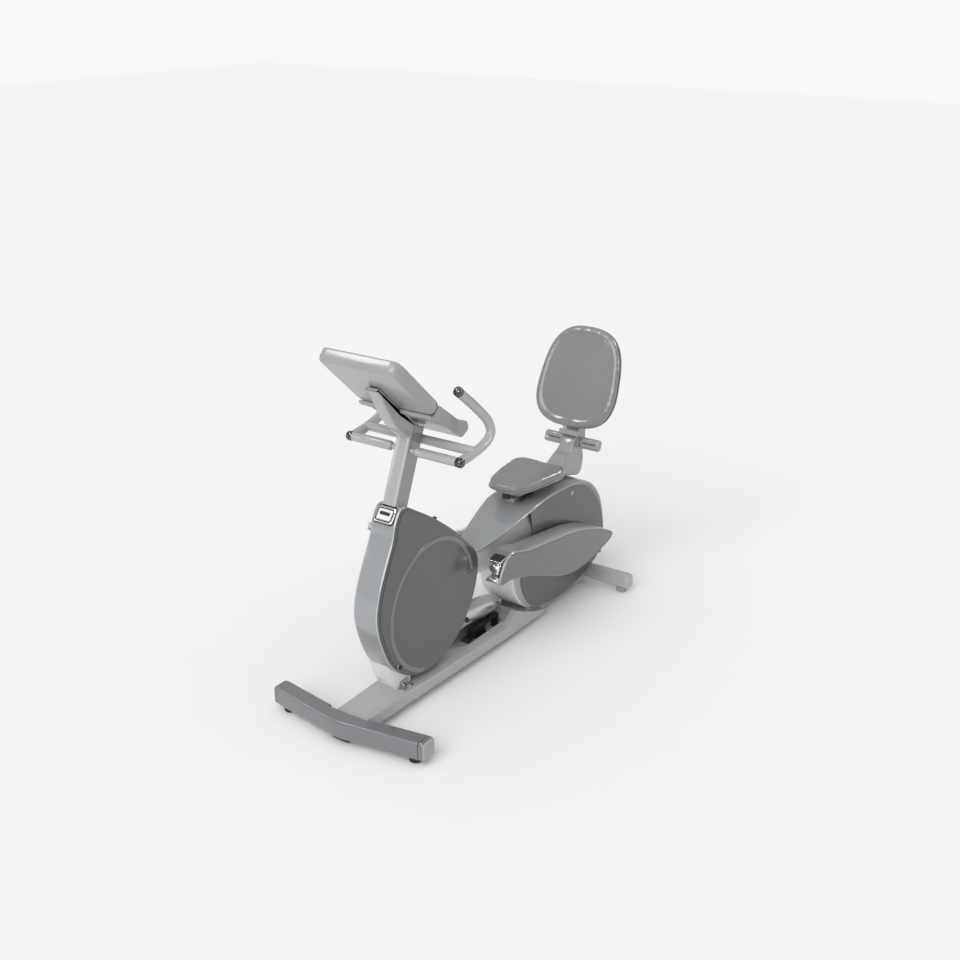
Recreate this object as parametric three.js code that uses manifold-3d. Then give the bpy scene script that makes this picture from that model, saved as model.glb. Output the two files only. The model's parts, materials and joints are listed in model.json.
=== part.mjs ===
// Recumbent exercise bike with two swinging pedal arms, built as separate pieces.
// Millimetres. +X points forward to the console, +Y to the rider's left, +Z up.
// The origin lies on the floor, under the middle of the whole machine.
import * as THREE from "three";
import { mergeVertices } from "three/addons/utils/BufferGeometryUtils.js";
import Module from "manifold-3d";

const wasm = await Module();
wasm.setup();

// ---- Driving dimensions ----
const HALF_LENGTH = 805;
const HALF_WIDTH = 320;
const GAP = 0.4; // running and seating clearance between separate pieces
const EDGE_STEPS = 2; // facets across a rounded edge
const ROUND = 16; // facets round a small cylinder
const CAP_WIDTH = 22; // end caps of the front stabilizer
const FOOT_HEIGHT = 22;

const BEAM = { top: 74, bottom: 28, front: 742, rear: -700, halfFront: 64, halfMiddle: 87, halfRear: 62 };
const SLOT = { front: 163, rear: -131, halfWidth: 45, floor: 40, rim: 3, rimWidth: 7 };
const FRONT_SHELL = { half: 54, wall: 3, edge: 12 };
const REAR_SHELL = { half: 77, wall: 3, edge: 14, tailHalf: 46, lip: 10 };
const PANEL = { thick: 2.6, inset: 8 };

const WHEEL = { x: 338, z: 337, radius: 190, rimInner: 150, ridge: 236 };
const MAST = { x: 465.6, z: 737.5, lean: 22, depth: 72, width: 56, top: 268, tail: 130 };
const ARM_PIVOT = { x: -490, z: 265 };
const JACK = { x: -420, z: 440 };
const ARM = { inner: 84, outer: 162, edge: 12 };
const PEDAL = { x: 52, z: 378, inner: 96, outer: 151 };
const HUB = { bore: 12.35, radius: 20, start: 10, end: 148, clutch: 28 };
const PLATE = { inner: 30, outer: 36 };

const RAIL = { rear: -500, front: -215, half: 20, bottom: 519, top: 529 };
const SEAT = { top: 604, bottom: 562 };
const LEVER = { x: -300, z: 529 };
const BACK = { x: -610, z: 700, lean: 23, height: 406, half: 174, pad: 30, shell: 14 };
const RECLINE = { x: -84, z: -51 }; // recline axis, in the backrest's own leaning frame
const CONSOLE = { x: 565.5, z: 1172.5, tilt: 47, half: 155, low: -165, high: 118, thick: 46 };

// ---- Materials ----
const finish = (color, roughness, metalness = 0) =>
  new THREE.MeshStandardMaterial({ color, roughness, metalness });
const lightPaint = finish(0xbfc2c2, 0.3);
const darkPaint = finish(0x7f8486, 0.35);
const shellPlastic = finish(0x9aa0a3, 0.22);
const panelPlastic = finish(0x646764, 0.3);
const consolePlastic = finish(0xb4b6b6, 0.35);
const blackPlastic = finish(0x17181a, 0.4);
const cushion = finish(0x8d908f, 0.35);
const rubber = finish(0x242526, 0.8);
const steel = finish(0x8e9296, 0.35, 0.9);
const chrome = finish(0xd6d8da, 0.12, 1);
const castIron = finish(0x4b4d50, 0.55, 0.8);
const glass = finish(0x15191d, 0.08);

// ---- Outlines: lists of 2-D points ----
const radians = THREE.MathUtils.degToRad;
const points = (pairs) => pairs.map(([a, b]) => new THREE.Vector2(a, b));

function smooth(pairs, count) {
  const nodes = pairs.map(([a, b]) => new THREE.Vector3(a, b, 0));
  const curve = new THREE.CatmullRomCurve3(nodes, true, "centripetal");
  return curve.getSpacedPoints(count).slice(0, -1).map((p) => new THREE.Vector2(p.x, p.y));
}

function arc(x, y, radius, from, to, count) {
  return Array.from({ length: count + 1 }, (_, i) => {
    const angle = radians(from + ((to - from) * i) / count);
    return new THREE.Vector2(x + radius * Math.cos(angle), y + radius * Math.sin(angle));
  });
}

const circle = (x, y, radius, count = ROUND) => arc(x, y, radius, 0, 360, count).slice(0, -1);
const rectangle = (x0, y0, x1, y1) => points([[x0, y0], [x1, y0], [x1, y1], [x0, y1]]);

function roundedRectangle(width, height, radius, steps = 3) {
  const x = width / 2 - radius;
  const y = height / 2 - radius;
  return [
    ...arc(x, y, radius, 0, 90, steps),
    ...arc(-x, y, radius, 90, 180, steps),
    ...arc(-x, -y, radius, 180, 270, steps),
    ...arc(x, -y, radius, 270, 360, steps),
  ];
}

// Moves each point of a closed outline outwards by a distance, or inwards where it is negative.
function offset(outline, distance) {
  const turn = THREE.ShapeUtils.isClockWise(outline) ? -1 : 1;
  return outline.map((point, i) => {
    const before = outline[(i + outline.length - 1) % outline.length];
    const after = outline[(i + 1) % outline.length];
    const along = after.clone().sub(before).normalize();
    return new THREE.Vector2(along.y, -along.x).multiplyScalar(turn * distance).add(point);
  });
}

// The loop of a belt round two pulleys.
function beltLoop(a, radiusA, b, radiusB, count) {
  const line = THREE.MathUtils.radToDeg(Math.atan2(b.z - a.z, b.x - a.x));
  const distance = Math.hypot(b.x - a.x, b.z - a.z);
  const wrap = THREE.MathUtils.radToDeg(Math.acos((radiusA - radiusB) / distance));
  return [
    ...arc(a.x, a.z, radiusA, line + wrap, line + 360 - wrap, count),
    ...arc(b.x, b.z, radiusB, line - wrap, line + wrap, count / 2),
  ];
}

// ---- Solids ----
function solidOf(geometry) {
  const bare = geometry.index ? geometry.toNonIndexed() : geometry;
  bare.deleteAttribute("normal");
  bare.deleteAttribute("uv");
  const merged = mergeVertices(bare, 1e-4);
  return new wasm.Manifold(
    new wasm.Mesh({
      numProp: 3,
      vertProperties: merged.attributes.position.array,
      triVerts: new Uint32Array(merged.index.array),
    }),
  );
}

function geometryOf(solid) {
  const mesh = solid.getMesh();
  const geometry = new THREE.BufferGeometry();
  geometry.setAttribute("position", new THREE.BufferAttribute(mesh.vertProperties, mesh.numProp));
  geometry.setIndex(new THREE.BufferAttribute(mesh.triVerts, 1));
  geometry.computeVertexNormals();
  return geometry;
}

const join = (first, ...others) => others.reduce((made, other) => made.add(other), first);
const cut = (first, ...others) => others.reduce((made, other) => made.subtract(other), first);

function extruded(outline, depth, edge) {
  const geometry = new THREE.ExtrudeGeometry(new THREE.Shape(outline), {
    depth: depth - 2 * edge,
    bevelEnabled: edge > 0,
    bevelSize: edge,
    bevelThickness: edge,
    bevelOffset: -edge,
    bevelSegments: EDGE_STEPS,
    curveSegments: 1,
  });
  return geometry.translate(0, 0, edge);
}

// An (x, z) outline, extruded across the machine.
function sidePrism(outline, yLow, yHigh, edge = 0) {
  return solidOf(extruded(outline, yHigh - yLow, edge).rotateX(Math.PI / 2).translate(0, yHigh, 0));
}

// An (x, y) outline, extruded upwards.
function planPrism(outline, zLow, zHigh, edge = 0) {
  return solidOf(extruded(outline, zHigh - zLow, edge).translate(0, 0, zLow));
}

// A (y, z) outline, extruded forwards.
function frontPrism(outline, xLow, xHigh, edge = 0) {
  const turn = new THREE.Matrix4().makeBasis(
    new THREE.Vector3(0, 1, 0),
    new THREE.Vector3(0, 0, 1),
    new THREE.Vector3(1, 0, 0),
  );
  return solidOf(extruded(outline, xHigh - xLow, edge).applyMatrix4(turn).translate(xLow, 0, 0));
}

const box = (x0, y0, z0, x1, y1, z1) => planPrism(rectangle(x0, y0, x1, y1), z0, z1);
const rodAcross = (x, z, radius, yLow, yHigh) => sidePrism(circle(x, z, radius), yLow, yHigh);
const rodUp = (x, y, radius, zLow, zHigh, edge = 0) =>
  planPrism(circle(x, y, radius), zLow, zHigh, edge);

// A body of revolution about the Y axis; the profile lists (radius, y) round a closed loop.
function turned(profile, x, z, count) {
  const loop = points([...profile, profile[0]]);
  return solidOf(new THREE.LatheGeometry(loop, count).translate(x, 0, z));
}

function tube(path, radius, steps, around = 10) {
  const curve = new THREE.CatmullRomCurve3(path.map((p) => new THREE.Vector3(...p)), false, "centripetal");
  return solidOf(
    new THREE.ExtrudeGeometry(new THREE.Shape(circle(0, 0, radius, around)), {
      steps,
      curveSegments: 1,
      extrudePath: curve,
    }),
  );
}

// A y range on the left (side 1) or right (side -1), lowest value first.
const onSide = (side, inner, outer) => (side > 0 ? [inner, outer] : [-outer, -inner]);
const sideName = (side) => (side > 0 ? "left" : "right");
const halfSpace = (side) => {
  const [low, high] = onSide(side, 0.15, 400);
  return box(-900, low, -50, 900, high, 1400);
};

function part(name, material, solid) {
  const mesh = new THREE.Mesh(geometryOf(solid), material);
  mesh.name = name;
  return mesh;
}

function group(children, x = 0, y = 0, z = 0) {
  const made = new THREE.Group();
  made.add(...children);
  made.position.set(x, y, z);
  return made;
}

const bike = new THREE.Group();

// ---- Outlines that several pieces share ----
const frontOutline = smooth(
  [
    [490, 743], [393, 697], [237, 590], [150, 512], [64, 415], [90, 270], [205, 136], [330, 91],
    [433, 98], [558, 181], [622, 310], [638, 394], [624, 470], [587, 556], [545, 640], [529, 695],
  ],
  34,
);
const rearOutline = smooth(
  [
    [115, 425], [0, 450], [-110, 480], [-220, 510], [-300, 518], [-390, 516], [-491, 508], [-600, 492],
    [-652, 474], [-705, 443], [-762, 376], [-795, 290], [-HALF_LENGTH, 205], [-775, 108], [-679, 62],
    [-540, 34], [-404, 34], [-290, 56], [-200, 105], [-140, 180], [-108, 270], [-20, 318], [95, 340],
  ],
  40,
);
const armOutline = smooth(
  [
    [22, 425], [-110, 404], [-277, 382], [-428, 360], [-540, 331], [-660, 284], [-727, 240],
    [-690, 214], [-593, 194], [-497, 179], [-395, 187], [-310, 212], [-200, 257], [-88, 298],
    [10, 322], [82, 332],
  ],
  28,
);

function tapered(extra) {
  const { half, tailHalf } = REAR_SHELL;
  const side = [
    [-HALF_LENGTH - 5, half + extra], [-130, half + extra],
    [50, tailHalf + extra], [130, tailHalf + extra],
  ];
  const plan = [...side, ...side.map(([x, y]) => [x, -y]).reverse()];
  return planPrism(points(plan), -20, 560);
}

// ---- Stabilizers, feet and beam ----
function chevron(half, front, depth, sweep) {
  const back = front - depth;
  return points([
    [front, 0], [front - sweep, half], [back - sweep, half],
    [back, 0], [back - sweep, -half], [front - sweep, -half],
  ]);
}

const STABILIZER = { depth: 66, sweep: 48, low: FOOT_HEIGHT, high: 88 };

function addFrontStabilizer() {
  const { depth, sweep, low, high } = STABILIZER;
  const half = HALF_WIDTH - CAP_WIDTH - GAP;
  const bar = planPrism(chevron(half, HALF_LENGTH, depth, sweep), low, high, 8);
  const wheelWell = box(HALF_LENGTH - 62, -34, 0, HALF_LENGTH - 10, 34, 50);
  const seatHalf = BEAM.halfFront + 20;
  const beamSeat = box(0, -seatHalf, BEAM.bottom - GAP, BEAM.front + GAP, seatHalf, 200);
  const axleHole = rodAcross(HALF_LENGTH - 36, 26, 4.4, -40, 40);
  bike.add(part("front_stabilizer", darkPaint, cut(bar, wheelWell, beamSeat, axleHole)));

  const roller = turned(
    [[0.01, -38], [4, -38], [4, -31], [22, -31], [24, -27], [24, 27], [22, 31], [4, 31], [4, 38], [0.01, 38]],
    0, 0, ROUND,
  );
  const rollerMesh = part("transport_roller", rubber, roller);
  rollerMesh.position.set(HALF_LENGTH - 36, 0, 26);
  bike.add(rollerMesh);

  for (const side of [1, -1]) {
    const [yLow, yHigh] = onSide(side, HALF_WIDTH - CAP_WIDTH, HALF_WIDTH);
    const front = HALF_LENGTH - sweep - 1;
    const cap = frontPrism(roundedRectangle(CAP_WIDTH, high - low + 2, 10), front - depth, front, 7);
    const capMesh = part(`front_cap_${sideName(side)}`, consolePlastic, cap);
    capMesh.position.set(0, (yLow + yHigh) / 2, (high + low) / 2);
    bike.add(capMesh);
    const foot = rodUp(0, 0, 21, 0, FOOT_HEIGHT - GAP, 4);
    const footMesh = part(`front_foot_${sideName(side)}`, rubber, foot);
    footMesh.position.set(front - depth / 2 + 6, side * 268, 0);
    bike.add(footMesh);
  }
}

function addRearStabilizer() {
  const axisX = -722;
  const section = roundedRectangle(56, 56, 16);
  const bar = sidePrism(section, -254, 254, 8);
  const beamSocket = box(10, -BEAM.halfRear - GAP, -60, 60, BEAM.halfRear + GAP, 60);
  const stabilizer = part("rear_stabilizer", lightPaint, cut(bar, beamSocket));
  stabilizer.position.set(axisX, 0, FOOT_HEIGHT + 28);
  bike.add(stabilizer);
  for (const side of [1, -1]) {
    const foot = part(`rear_foot_${sideName(side)}`, rubber, rodUp(0, 0, 21, 0, FOOT_HEIGHT - GAP, 4));
    foot.position.set(axisX, side * 215, 0);
    bike.add(foot);
  }
}

function racetrack(grow) {
  const length = SLOT.front - SLOT.rear + 2 * grow;
  const radius = SLOT.halfWidth + grow;
  const middle = new THREE.Vector2((SLOT.front + SLOT.rear) / 2, 0);
  return roundedRectangle(length, 2 * radius, radius, 6).map((p) => p.add(middle));
}

const seatHalf = REAR_SHELL.half + GAP;
const housingSeat = sidePrism(offset(rearOutline, GAP), -seatHalf, seatHalf, REAR_SHELL.edge);

function beamCore() {
  const half = [
    [BEAM.front, BEAM.halfFront], [16, BEAM.halfMiddle], [-145, BEAM.halfMiddle],
    [-150, BEAM.halfRear], [BEAM.rear, BEAM.halfRear],
  ];
  const plan = points([...half, ...half.map(([x, y]) => [x, -y]).reverse()]);
  return planPrism(plan, BEAM.bottom, BEAM.top, 6);
}

// The moulded flare where the beam's flanks sweep up to the rear housing.
function beamFlare() {
  const outline = points([
    [-40, BEAM.bottom], [0, BEAM.top - 8], [-80, BEAM.top + 2], [-135, 118], [-190, 92], [-262, 62],
    [-345, 38], [-345, BEAM.bottom],
  ]);
  const middle = box(-160, -62, BEAM.top + SLOT.rim, 0, 62, 200);
  return cut(sidePrism(outline, -BEAM.halfMiddle, BEAM.halfMiddle), housingSeat, middle);
}

function addBeam() {
  const rim = planPrism(racetrack(SLOT.rimWidth), BEAM.top - 1, BEAM.top + SLOT.rim);
  const recess = planPrism(racetrack(0), SLOT.floor, BEAM.top + 50);
  const beam = cut(join(beamCore(), beamFlare(), rim), recess);
  bike.add(part("main_beam", lightPaint, beam));
}

function addPowerPack() {
  const floor = SLOT.floor + GAP;
  const pedestal = box(-34, -16, floor, 38, 16, 98);
  const bar = sidePrism(points([[-128, 80], [-30, 83], [-30, 96], [-128, 92]]), -9, 13);
  const flange = box(-52, -30, floor, 60, 30, floor + 8);
  const foot = box(-124, -9, floor, -104, 13, 84);
  bike.add(part("pack_clamp", blackPlastic, join(pedestal, bar, flange, foot)));

  const outline = smooth(
    [
      [-165, 124], [-140, 147], [-86, 170], [0, 185], [66, 180],
      [100, 146], [80, 112], [0, 101], [-100, 101], [-150, 106],
    ],
    28,
  );
  bike.add(part("power_pack", shellPlastic, sidePrism(outline, -58, 12, 16)));
  const bolt = join(rodUp(0, 0, 4, 0, 14), rodUp(0, 0, 9, 0, 7));
  const boltMesh = part("clamp_bolt", steel, bolt);
  boltMesh.position.set(50, 24, floor + 8 + GAP);
  bike.add(boltMesh);
}

// ---- Front housing, frame post and mast ----
function mastPrism(width, depth, corner, low, high, edge = 0) {
  const solid = planPrism(roundedRectangle(depth, width, corner), low, high, edge);
  const geometry = geometryOf(solid).rotateY(radians(-MAST.lean)).translate(MAST.x, 0, MAST.z);
  return solidOf(geometry);
}

const POST = { yLow: -22, yHigh: 38, inner: 206, outer: 244, depth: 54, width: 46, bottom: -345 };
const FOOT_BLOCK = { x0: 440, x1: 495, y0: -22, y1: 14, top: 160 };
const BOOT = { right: -50, left: 28 };

function framePostFoot(grow) {
  const { x0, x1, y0, y1, top } = FOOT_BLOCK;
  return box(x0 - grow, y0 - grow, BEAM.top + GAP, x1 + grow, y1 + grow, top);
}

function ringSector(inner, outer, from, to, count) {
  return [...arc(WHEEL.x, WHEEL.z, outer, from, to, count), ...arc(WHEEL.x, WHEEL.z, inner, to, from, count)];
}

const BRAKE_PIVOT = arc(WHEEL.x, WHEEL.z, 216, 104, 104, 1)[0];

function addFramePost() {
  const spine = sidePrism(ringSector(POST.inner, POST.outer, -74, 97, 14), POST.yLow, POST.yHigh);
  const post = mastPrism(POST.width, POST.depth, 6, POST.bottom, -22);
  const socket = mastPrism(36 + 2 * GAP, 44 + 2 * GAP, 5, -MAST.tail - 8, 0);
  const cheekOutline = points([
    [WHEEL.x - 26, WHEEL.z - 26], [WHEEL.x + 215, WHEEL.z - 60],
    [WHEEL.x + 215, WHEEL.z + 60], [WHEEL.x - 26, WHEEL.z + 26],
  ]);
  const cheekLeft = sidePrism(cheekOutline, 32, 38);
  const cheekRight = sidePrism(cheekOutline, -22, -16);
  const ear = sidePrism(ringSector(207, 228, 95, 107, 3), POST.yLow, POST.yLow + 3);
  const earHole = rodAcross(BRAKE_PIVOT.x, BRAKE_PIVOT.y, 4.4, -30, -10);
  const axleHole = rodAcross(WHEEL.x, WHEEL.z, 10.3, -30, 50);
  const frame = join(spine, post, cheekLeft, cheekRight, ear, framePostFoot(0));
  bike.add(part("frame_post", castIron, cut(frame, socket, axleHole, earHole)));

  const face = BOOT.left + GAP;
  const angle = join(
    box(458, face, BEAM.top + GAP, 506, 58, BEAM.top + 7),
    box(458, face, BEAM.top + GAP, 500, face + 5, BEAM.top + 24),
    frontPrism(points([[face, BEAM.top + 4], [54, BEAM.top + 4], [face, BEAM.top + 24]]), 492, 497),
    rodUp(476, 47, 8, BEAM.top + 6, BEAM.top + 13),
  );
  bike.add(part("post_bracket", steel, angle));
}

// The moulded collar that closes the gap between the housing's underside and the beam.
function addBoot() {
  const outline = points([[566, 190], [540, 116], [514, BEAM.top + GAP], [436, BEAM.top + GAP], [436, 120]]);
  const housing = sidePrism(offset(frontOutline, GAP), -FRONT_SHELL.half - 20, FRONT_SHELL.half + 20);
  const block = sidePrism(outline, BOOT.right, BOOT.left, 4);
  bike.add(part("housing_boot", consolePlastic, cut(block, housing, framePostFoot(1))));
}

function shellHalf(outer, inner, side, openings) {
  return cut(outer.intersect(halfSpace(side)), inner, ...openings);
}

function frontOpenings() {
  const mastHole = mastPrism(36 + 6, 44 + 6, 5, -60, 40);
  const mastSeat = mastPrism(MAST.width + 1, MAST.depth + 1, 10, -5.5, 60);
  const beltMouth = box(20, -32, 334, 130, 32, 414);
  return [mastHole, mastSeat, beltMouth, framePostFoot(1)];
}

function addFrontHousing() {
  const { half, wall, edge } = FRONT_SHELL;
  const outer = sidePrism(frontOutline, -half, half, edge);
  const inner = sidePrism(offset(frontOutline, -wall), wall - half, half - wall, edge - wall);
  const panelOutline = offset(frontOutline, -PANEL.inset - 4);
  for (const side of [1, -1]) {
    const name = sideName(side);
    bike.add(part(`front_shell_${name}`, shellPlastic, shellHalf(outer, inner, side, frontOpenings())));
    const face = half + 0.3;
    const plate = sidePrism(panelOutline, ...onSide(side, face, face + PANEL.thick));
    const ridge = cut(
      sidePrism(circle(WHEEL.x, WHEEL.z, WHEEL.ridge, 40), ...onSide(side, face + 1, face + PANEL.thick + 2)),
      sidePrism(circle(WHEEL.x, WHEEL.z, WHEEL.ridge - 7, 40), ...onSide(side, face, face + PANEL.thick + 3)),
    ).intersect(sidePrism(panelOutline, ...onSide(side, face, face + 10)));
    bike.add(part(`front_panel_${name}`, panelPlastic, join(plate, ridge)));
  }
  const plugFace = half + 0.3 + PANEL.thick;
  bike.add(part("cable_plug", rubber, rodAcross(535, 182, 8, plugFace + GAP, plugFace + 6)));
  const knob = join(rodAcross(0, 0, 7, -22, 0), rodAcross(0, 0, 13, -30, -16));
  const knobMesh = part("mast_knob", consolePlastic, knob);
  knobMesh.position.set(505, -plugFace - GAP, 655);
  bike.add(knobMesh);
}

// The quick-release catch on the chamfer in front of the mast.
function addLatch() {
  const width = 76;
  const height = 56;
  const frame = frontPrism(roundedRectangle(width, height, 10), 0, 6, 1.5);
  const opening = frontPrism(roundedRectangle(width - 16, height - 16, 6), 2, 9);
  const bezel = part("latch_bezel", chrome, cut(frame, opening));
  const paddleBody = frontPrism(roundedRectangle(width - 20, height - 20, 4), 2 + GAP, 8);
  const fingerSlot = box(5, -20, -2, 12, 20, 8);
  const paddle = part("latch_paddle", steel, cut(paddleBody, fingerSlot));
  const latch = group([bezel, paddle], 515.5, 0, 716.5);
  latch.rotation.y = radians(-38);
  bike.add(latch);
}

function addFlywheel() {
  const rim = WHEEL.radius;
  const web = WHEEL.rimInner;
  const flywheel = turned(
    [
      [10.35, -13], [24, -13], [24, -6], [web, -5], [web, -12], [rim, -12], [rim, 8], [web, 8],
      [web, 1], [26, 2], [20, 4], [20, 13], [28, 13], [28, 28], [10.35, 28],
    ],
    0, 0, 24,
  );
  const wheelMesh = part("flywheel", castIron, flywheel);
  wheelMesh.position.set(WHEEL.x, 0, WHEEL.z);
  bike.add(wheelMesh);
  const axle = join(
    rodAcross(WHEEL.x, WHEEL.z, 10, -22, 38),
    rodAcross(WHEEL.x, WHEEL.z, 15, -30, -22 - GAP),
    rodAcross(WHEEL.x, WHEEL.z, 10, -23, -21),
    rodAcross(WHEEL.x, WHEEL.z, 15, 38 + GAP, 46),
    rodAcross(WHEEL.x, WHEEL.z, 10, 37, 39),
  );
  bike.add(part("flywheel_axle", steel, axle));

  const bridge = sidePrism(ringSector(197, 208, 107, 150, 6), -18, 14);
  const jaw = ringSector(172, 203, 116, 146, 5);
  const eye = rodAcross(BRAKE_PIVOT.x, BRAKE_PIVOT.y, 9, -18, 10);
  const link = sidePrism(ringSector(199, 214, 103, 114, 2), -18, 10);
  const pin = rodAcross(BRAKE_PIVOT.x, BRAKE_PIVOT.y, 4, -24, -17);
  const brake = join(bridge, sidePrism(jaw, -18, -14.5), sidePrism(jaw, 10.5, 14), eye, link, pin);
  bike.add(part("brake_arm", steel, brake));
}

function addMast() {
  const column = mastPrism(MAST.width, MAST.depth, 9, -5, MAST.top);
  const tail = mastPrism(36, 44, 5, -MAST.tail, 0);
  const { frontX, frontZ, spigot } = HANDLEBAR;
  const spigotHole = rodAcross(frontX, frontZ, spigot + GAP, -MAST.width, MAST.width);
  bike.add(part("mast", lightPaint, cut(join(column, tail), spigotHole)));
}

const HANDLEBAR = { radius: 16, spigot: 9, frontX: 411, frontZ: 914, rearX: 332, rearZ: 927.5, reach: 219 };

function addHandlebar() {
  const { radius, spigot, frontX, frontZ, rearX, rearZ, reach } = HANDLEBAR;
  const inner = MAST.width / 2 + 2.5;
  const rearBar = rodAcross(rearX, rearZ, radius, -reach, reach);
  const spigotBar = rodAcross(frontX, frontZ, spigot, -inner - 10, inner + 10);
  const frontBars = [1, -1].map((side) => rodAcross(frontX, frontZ, radius, ...onSide(side, inner, reach)));
  const sideTubes = [1, -1].map((side) =>
    tube(
      [
        [frontX + 4, side * reach, frontZ - 1], [rearX, side * (reach + 2), rearZ - 5],
        [262, side * (reach + 3), 941], [235, side * (reach + 1), 962], [240, side * (reach - 4), 998],
        [284, side * 206, 1051], [368, side * 190, 1130],
      ],
      radius, 15,
    ),
  );
  bike.add(part("handlebar", lightPaint, join(rearBar, spigotBar, ...frontBars, ...sideTubes)));
}

// Console pieces share one leaning frame: local x points out of the console's back, local z up its length.
const TILT_HINGE = { x: 13, z: -12, radius: 9 };
const SPINE_HALF = 24;
const TRAY_HALF = 145;
const SCREEN = { width: 250, height: 124, z: 36 };
const BUTTON = { radius: 12, z: -76, pitch: 50 };

function consolePrism(outline, yLow, yHigh) {
  const geometry = geometryOf(sidePrism(outline, yLow, yHigh));
  geometry.rotateY(radians(CONSOLE.tilt)).translate(CONSOLE.x, 0, CONSOLE.z);
  return solidOf(geometry);
}

function addConsoleBracket() {
  const knuckle = circle(TILT_HINGE.x, TILT_HINGE.z, TILT_HINGE.radius);
  const spine = points([
    [5, -10], [14, -6], [20, -34], [33, -74], [46, -118], [59, -176], [56, -255], [4, -290], [-6, -276],
    [3, -200], [13, -178], [13, -150], [2, -145], [2, -20],
  ]);
  const bracket = join(
    consolePrism(spine, -SPINE_HALF, SPINE_HALF),
    consolePrism(knuckle, -SPINE_HALF, SPINE_HALF),
  );
  const mastClearance = mastPrism(MAST.width + 2 * GAP, MAST.depth + 2 * GAP, 9, 0, MAST.top + GAP);
  bike.add(part("console_bracket", lightPaint, cut(bracket, mastClearance)));
}

function addConsole() {
  const { half, low, high, thick } = CONSOLE;
  const at = (outline, y, z) => outline.map((p) => p.add(new THREE.Vector2(y, z)));
  const slab = frontPrism(at(roundedRectangle(2 * half, high - low, 24), 0, (high + low) / 2), -thick, 0, 12);
  const windowShape = at(roundedRectangle(SCREEN.width + 2, SCREEN.height + 2, 8), 0, SCREEN.z);
  const window = frontPrism(windowShape, -thick - 4, 2.4 - thick);
  const keys = ["level_down_button", "start_button", "level_up_button"];
  const keyY = (i) => (1 - i) * BUTTON.pitch;
  const keyHoles = keys.map((_, i) =>
    frontPrism(circle(keyY(i), BUTTON.z, BUTTON.radius + GAP), -thick - 4, 5 - thick),
  );
  const earShape = [
    ...arc(TILT_HINGE.x, TILT_HINGE.z, TILT_HINGE.radius, -90, 90, 6),
    ...points([[-3, TILT_HINGE.z + TILT_HINGE.radius], [-3, TILT_HINGE.z - TILT_HINGE.radius]]),
  ];
  const ears = [1, -1].map((side) => sidePrism(earShape, ...onSide(side, SPINE_HALF + GAP, SPINE_HALF + 8)));
  const body = part("console_body", consolePlastic, cut(join(slab, ...ears), window, ...keyHoles));
  const screenShape = at(roundedRectangle(SCREEN.width, SCREEN.height, 7), 0, SCREEN.z);
  const screen = part("console_screen", glass, frontPrism(screenShape, -thick + 0.2, 2 - thick));
  const buttons = keys.map((name, i) =>
    part(name, blackPlastic, frontPrism(circle(keyY(i), BUTTON.z, BUTTON.radius), -thick - 1.6, 3.2 - thick)),
  );

  // A shelf that hooks over the console's lower edge and ends in a raised lip.
  const shelf = points([
    [GAP, low + 15], [12, low + 11], [12, low - 7], [-4, -200], [-22, -358], [-65, -372], [-80, -345],
    [-61, -305], [-45, low - 1], [GAP, low - 1],
  ]);
  const tray = part("reading_tray", consolePlastic, sidePrism(shelf, -TRAY_HALF, TRAY_HALF, 3));
  const head = group([body, screen, ...buttons, tray], CONSOLE.x, 0, CONSOLE.z);
  head.rotation.y = radians(CONSOLE.tilt);
  bike.add(head);
}

// ---- Rear housing, frame and drive ----
// The top deck is wider than the sides under it, so its edge overhangs as a lip.
function rearDeck() {
  const half = [
    [70, 50], [0, 65], [-60, 78], [-140, 93], [-220, 103],
    [-280, 101], [-390, 89], [-491, 85], [-560, 81], [-625, 70],
  ];
  const plan = planPrism(points([...half, ...half.map(([x, y]) => [x, -y]).reverse()]), 300, 600);
  const filled = sidePrism(rearOutline, -120, 120);
  return cut(filled, filled.translate([0, 0, -REAR_SHELL.lip])).intersect(plan);
}

function addRearHousing() {
  const { half, wall, edge } = REAR_SHELL;
  const sides = sidePrism(rearOutline, -half, half, edge).intersect(tapered(0));
  const outer = join(sides, rearDeck());
  const innerOutline = offset(rearOutline, -wall);
  const inner = sidePrism(innerOutline, wall - half, half - wall, edge - wall).intersect(tapered(-wall));
  const frontKeepout = sidePrism(offset(frontOutline, 0.8), -200, 200);
  const tailMouth = box(20, -32, 334, 130, 32, 416);
  const beamTunnel = box(-HALF_LENGTH - 5, -BEAM.halfRear - 1, 0, 0, BEAM.halfRear + 1, BEAM.top + GAP);
  const stabilizerKeepout = box(-752, -300, 0, -690, 300, 80);
  const hubHole = rodAcross(ARM_PIVOT.x, ARM_PIVOT.z, 24, -120, 120);
  const columns = railColumns(1);
  const panelOutline = smooth(
    [
      [-238, 488], [-300, 497], [-390, 499], [-495, 491], [-570, 479], [-645, 452], [-701, 411], [-750, 350],
      [-784, 270], [-790, 200], [-760, 120],
      [-670, 80], [-540, 50], [-404, 50], [-305, 66], [-253, 92], [-208, 140], [-178, 222],
      [-205, 300], [-246, 380], [-246, 440],
    ],
    34,
  );
  for (const side of [1, -1]) {
    const name = sideName(side);
    const openings = [frontKeepout, tailMouth, beamTunnel, stabilizerKeepout, hubHole, columns];
    bike.add(part(`rear_shell_${name}`, shellPlastic, shellHalf(outer, inner, side, openings)));
    const face = half + 0.3;
    const plate = sidePrism(panelOutline, ...onSide(side, face, face + PANEL.thick));
    bike.add(part(`rear_panel_${name}`, panelPlastic, cut(plate, hubHole)));
  }
}

const COLUMNS = [[-500, -474], [-244, -218]];
const railColumns = (grow) =>
  join(...COLUMNS.map(([x0, x1]) => box(x0 - grow, -16 - grow, 460, x1 + grow, 16 + grow, RAIL.bottom + 1)));

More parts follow.
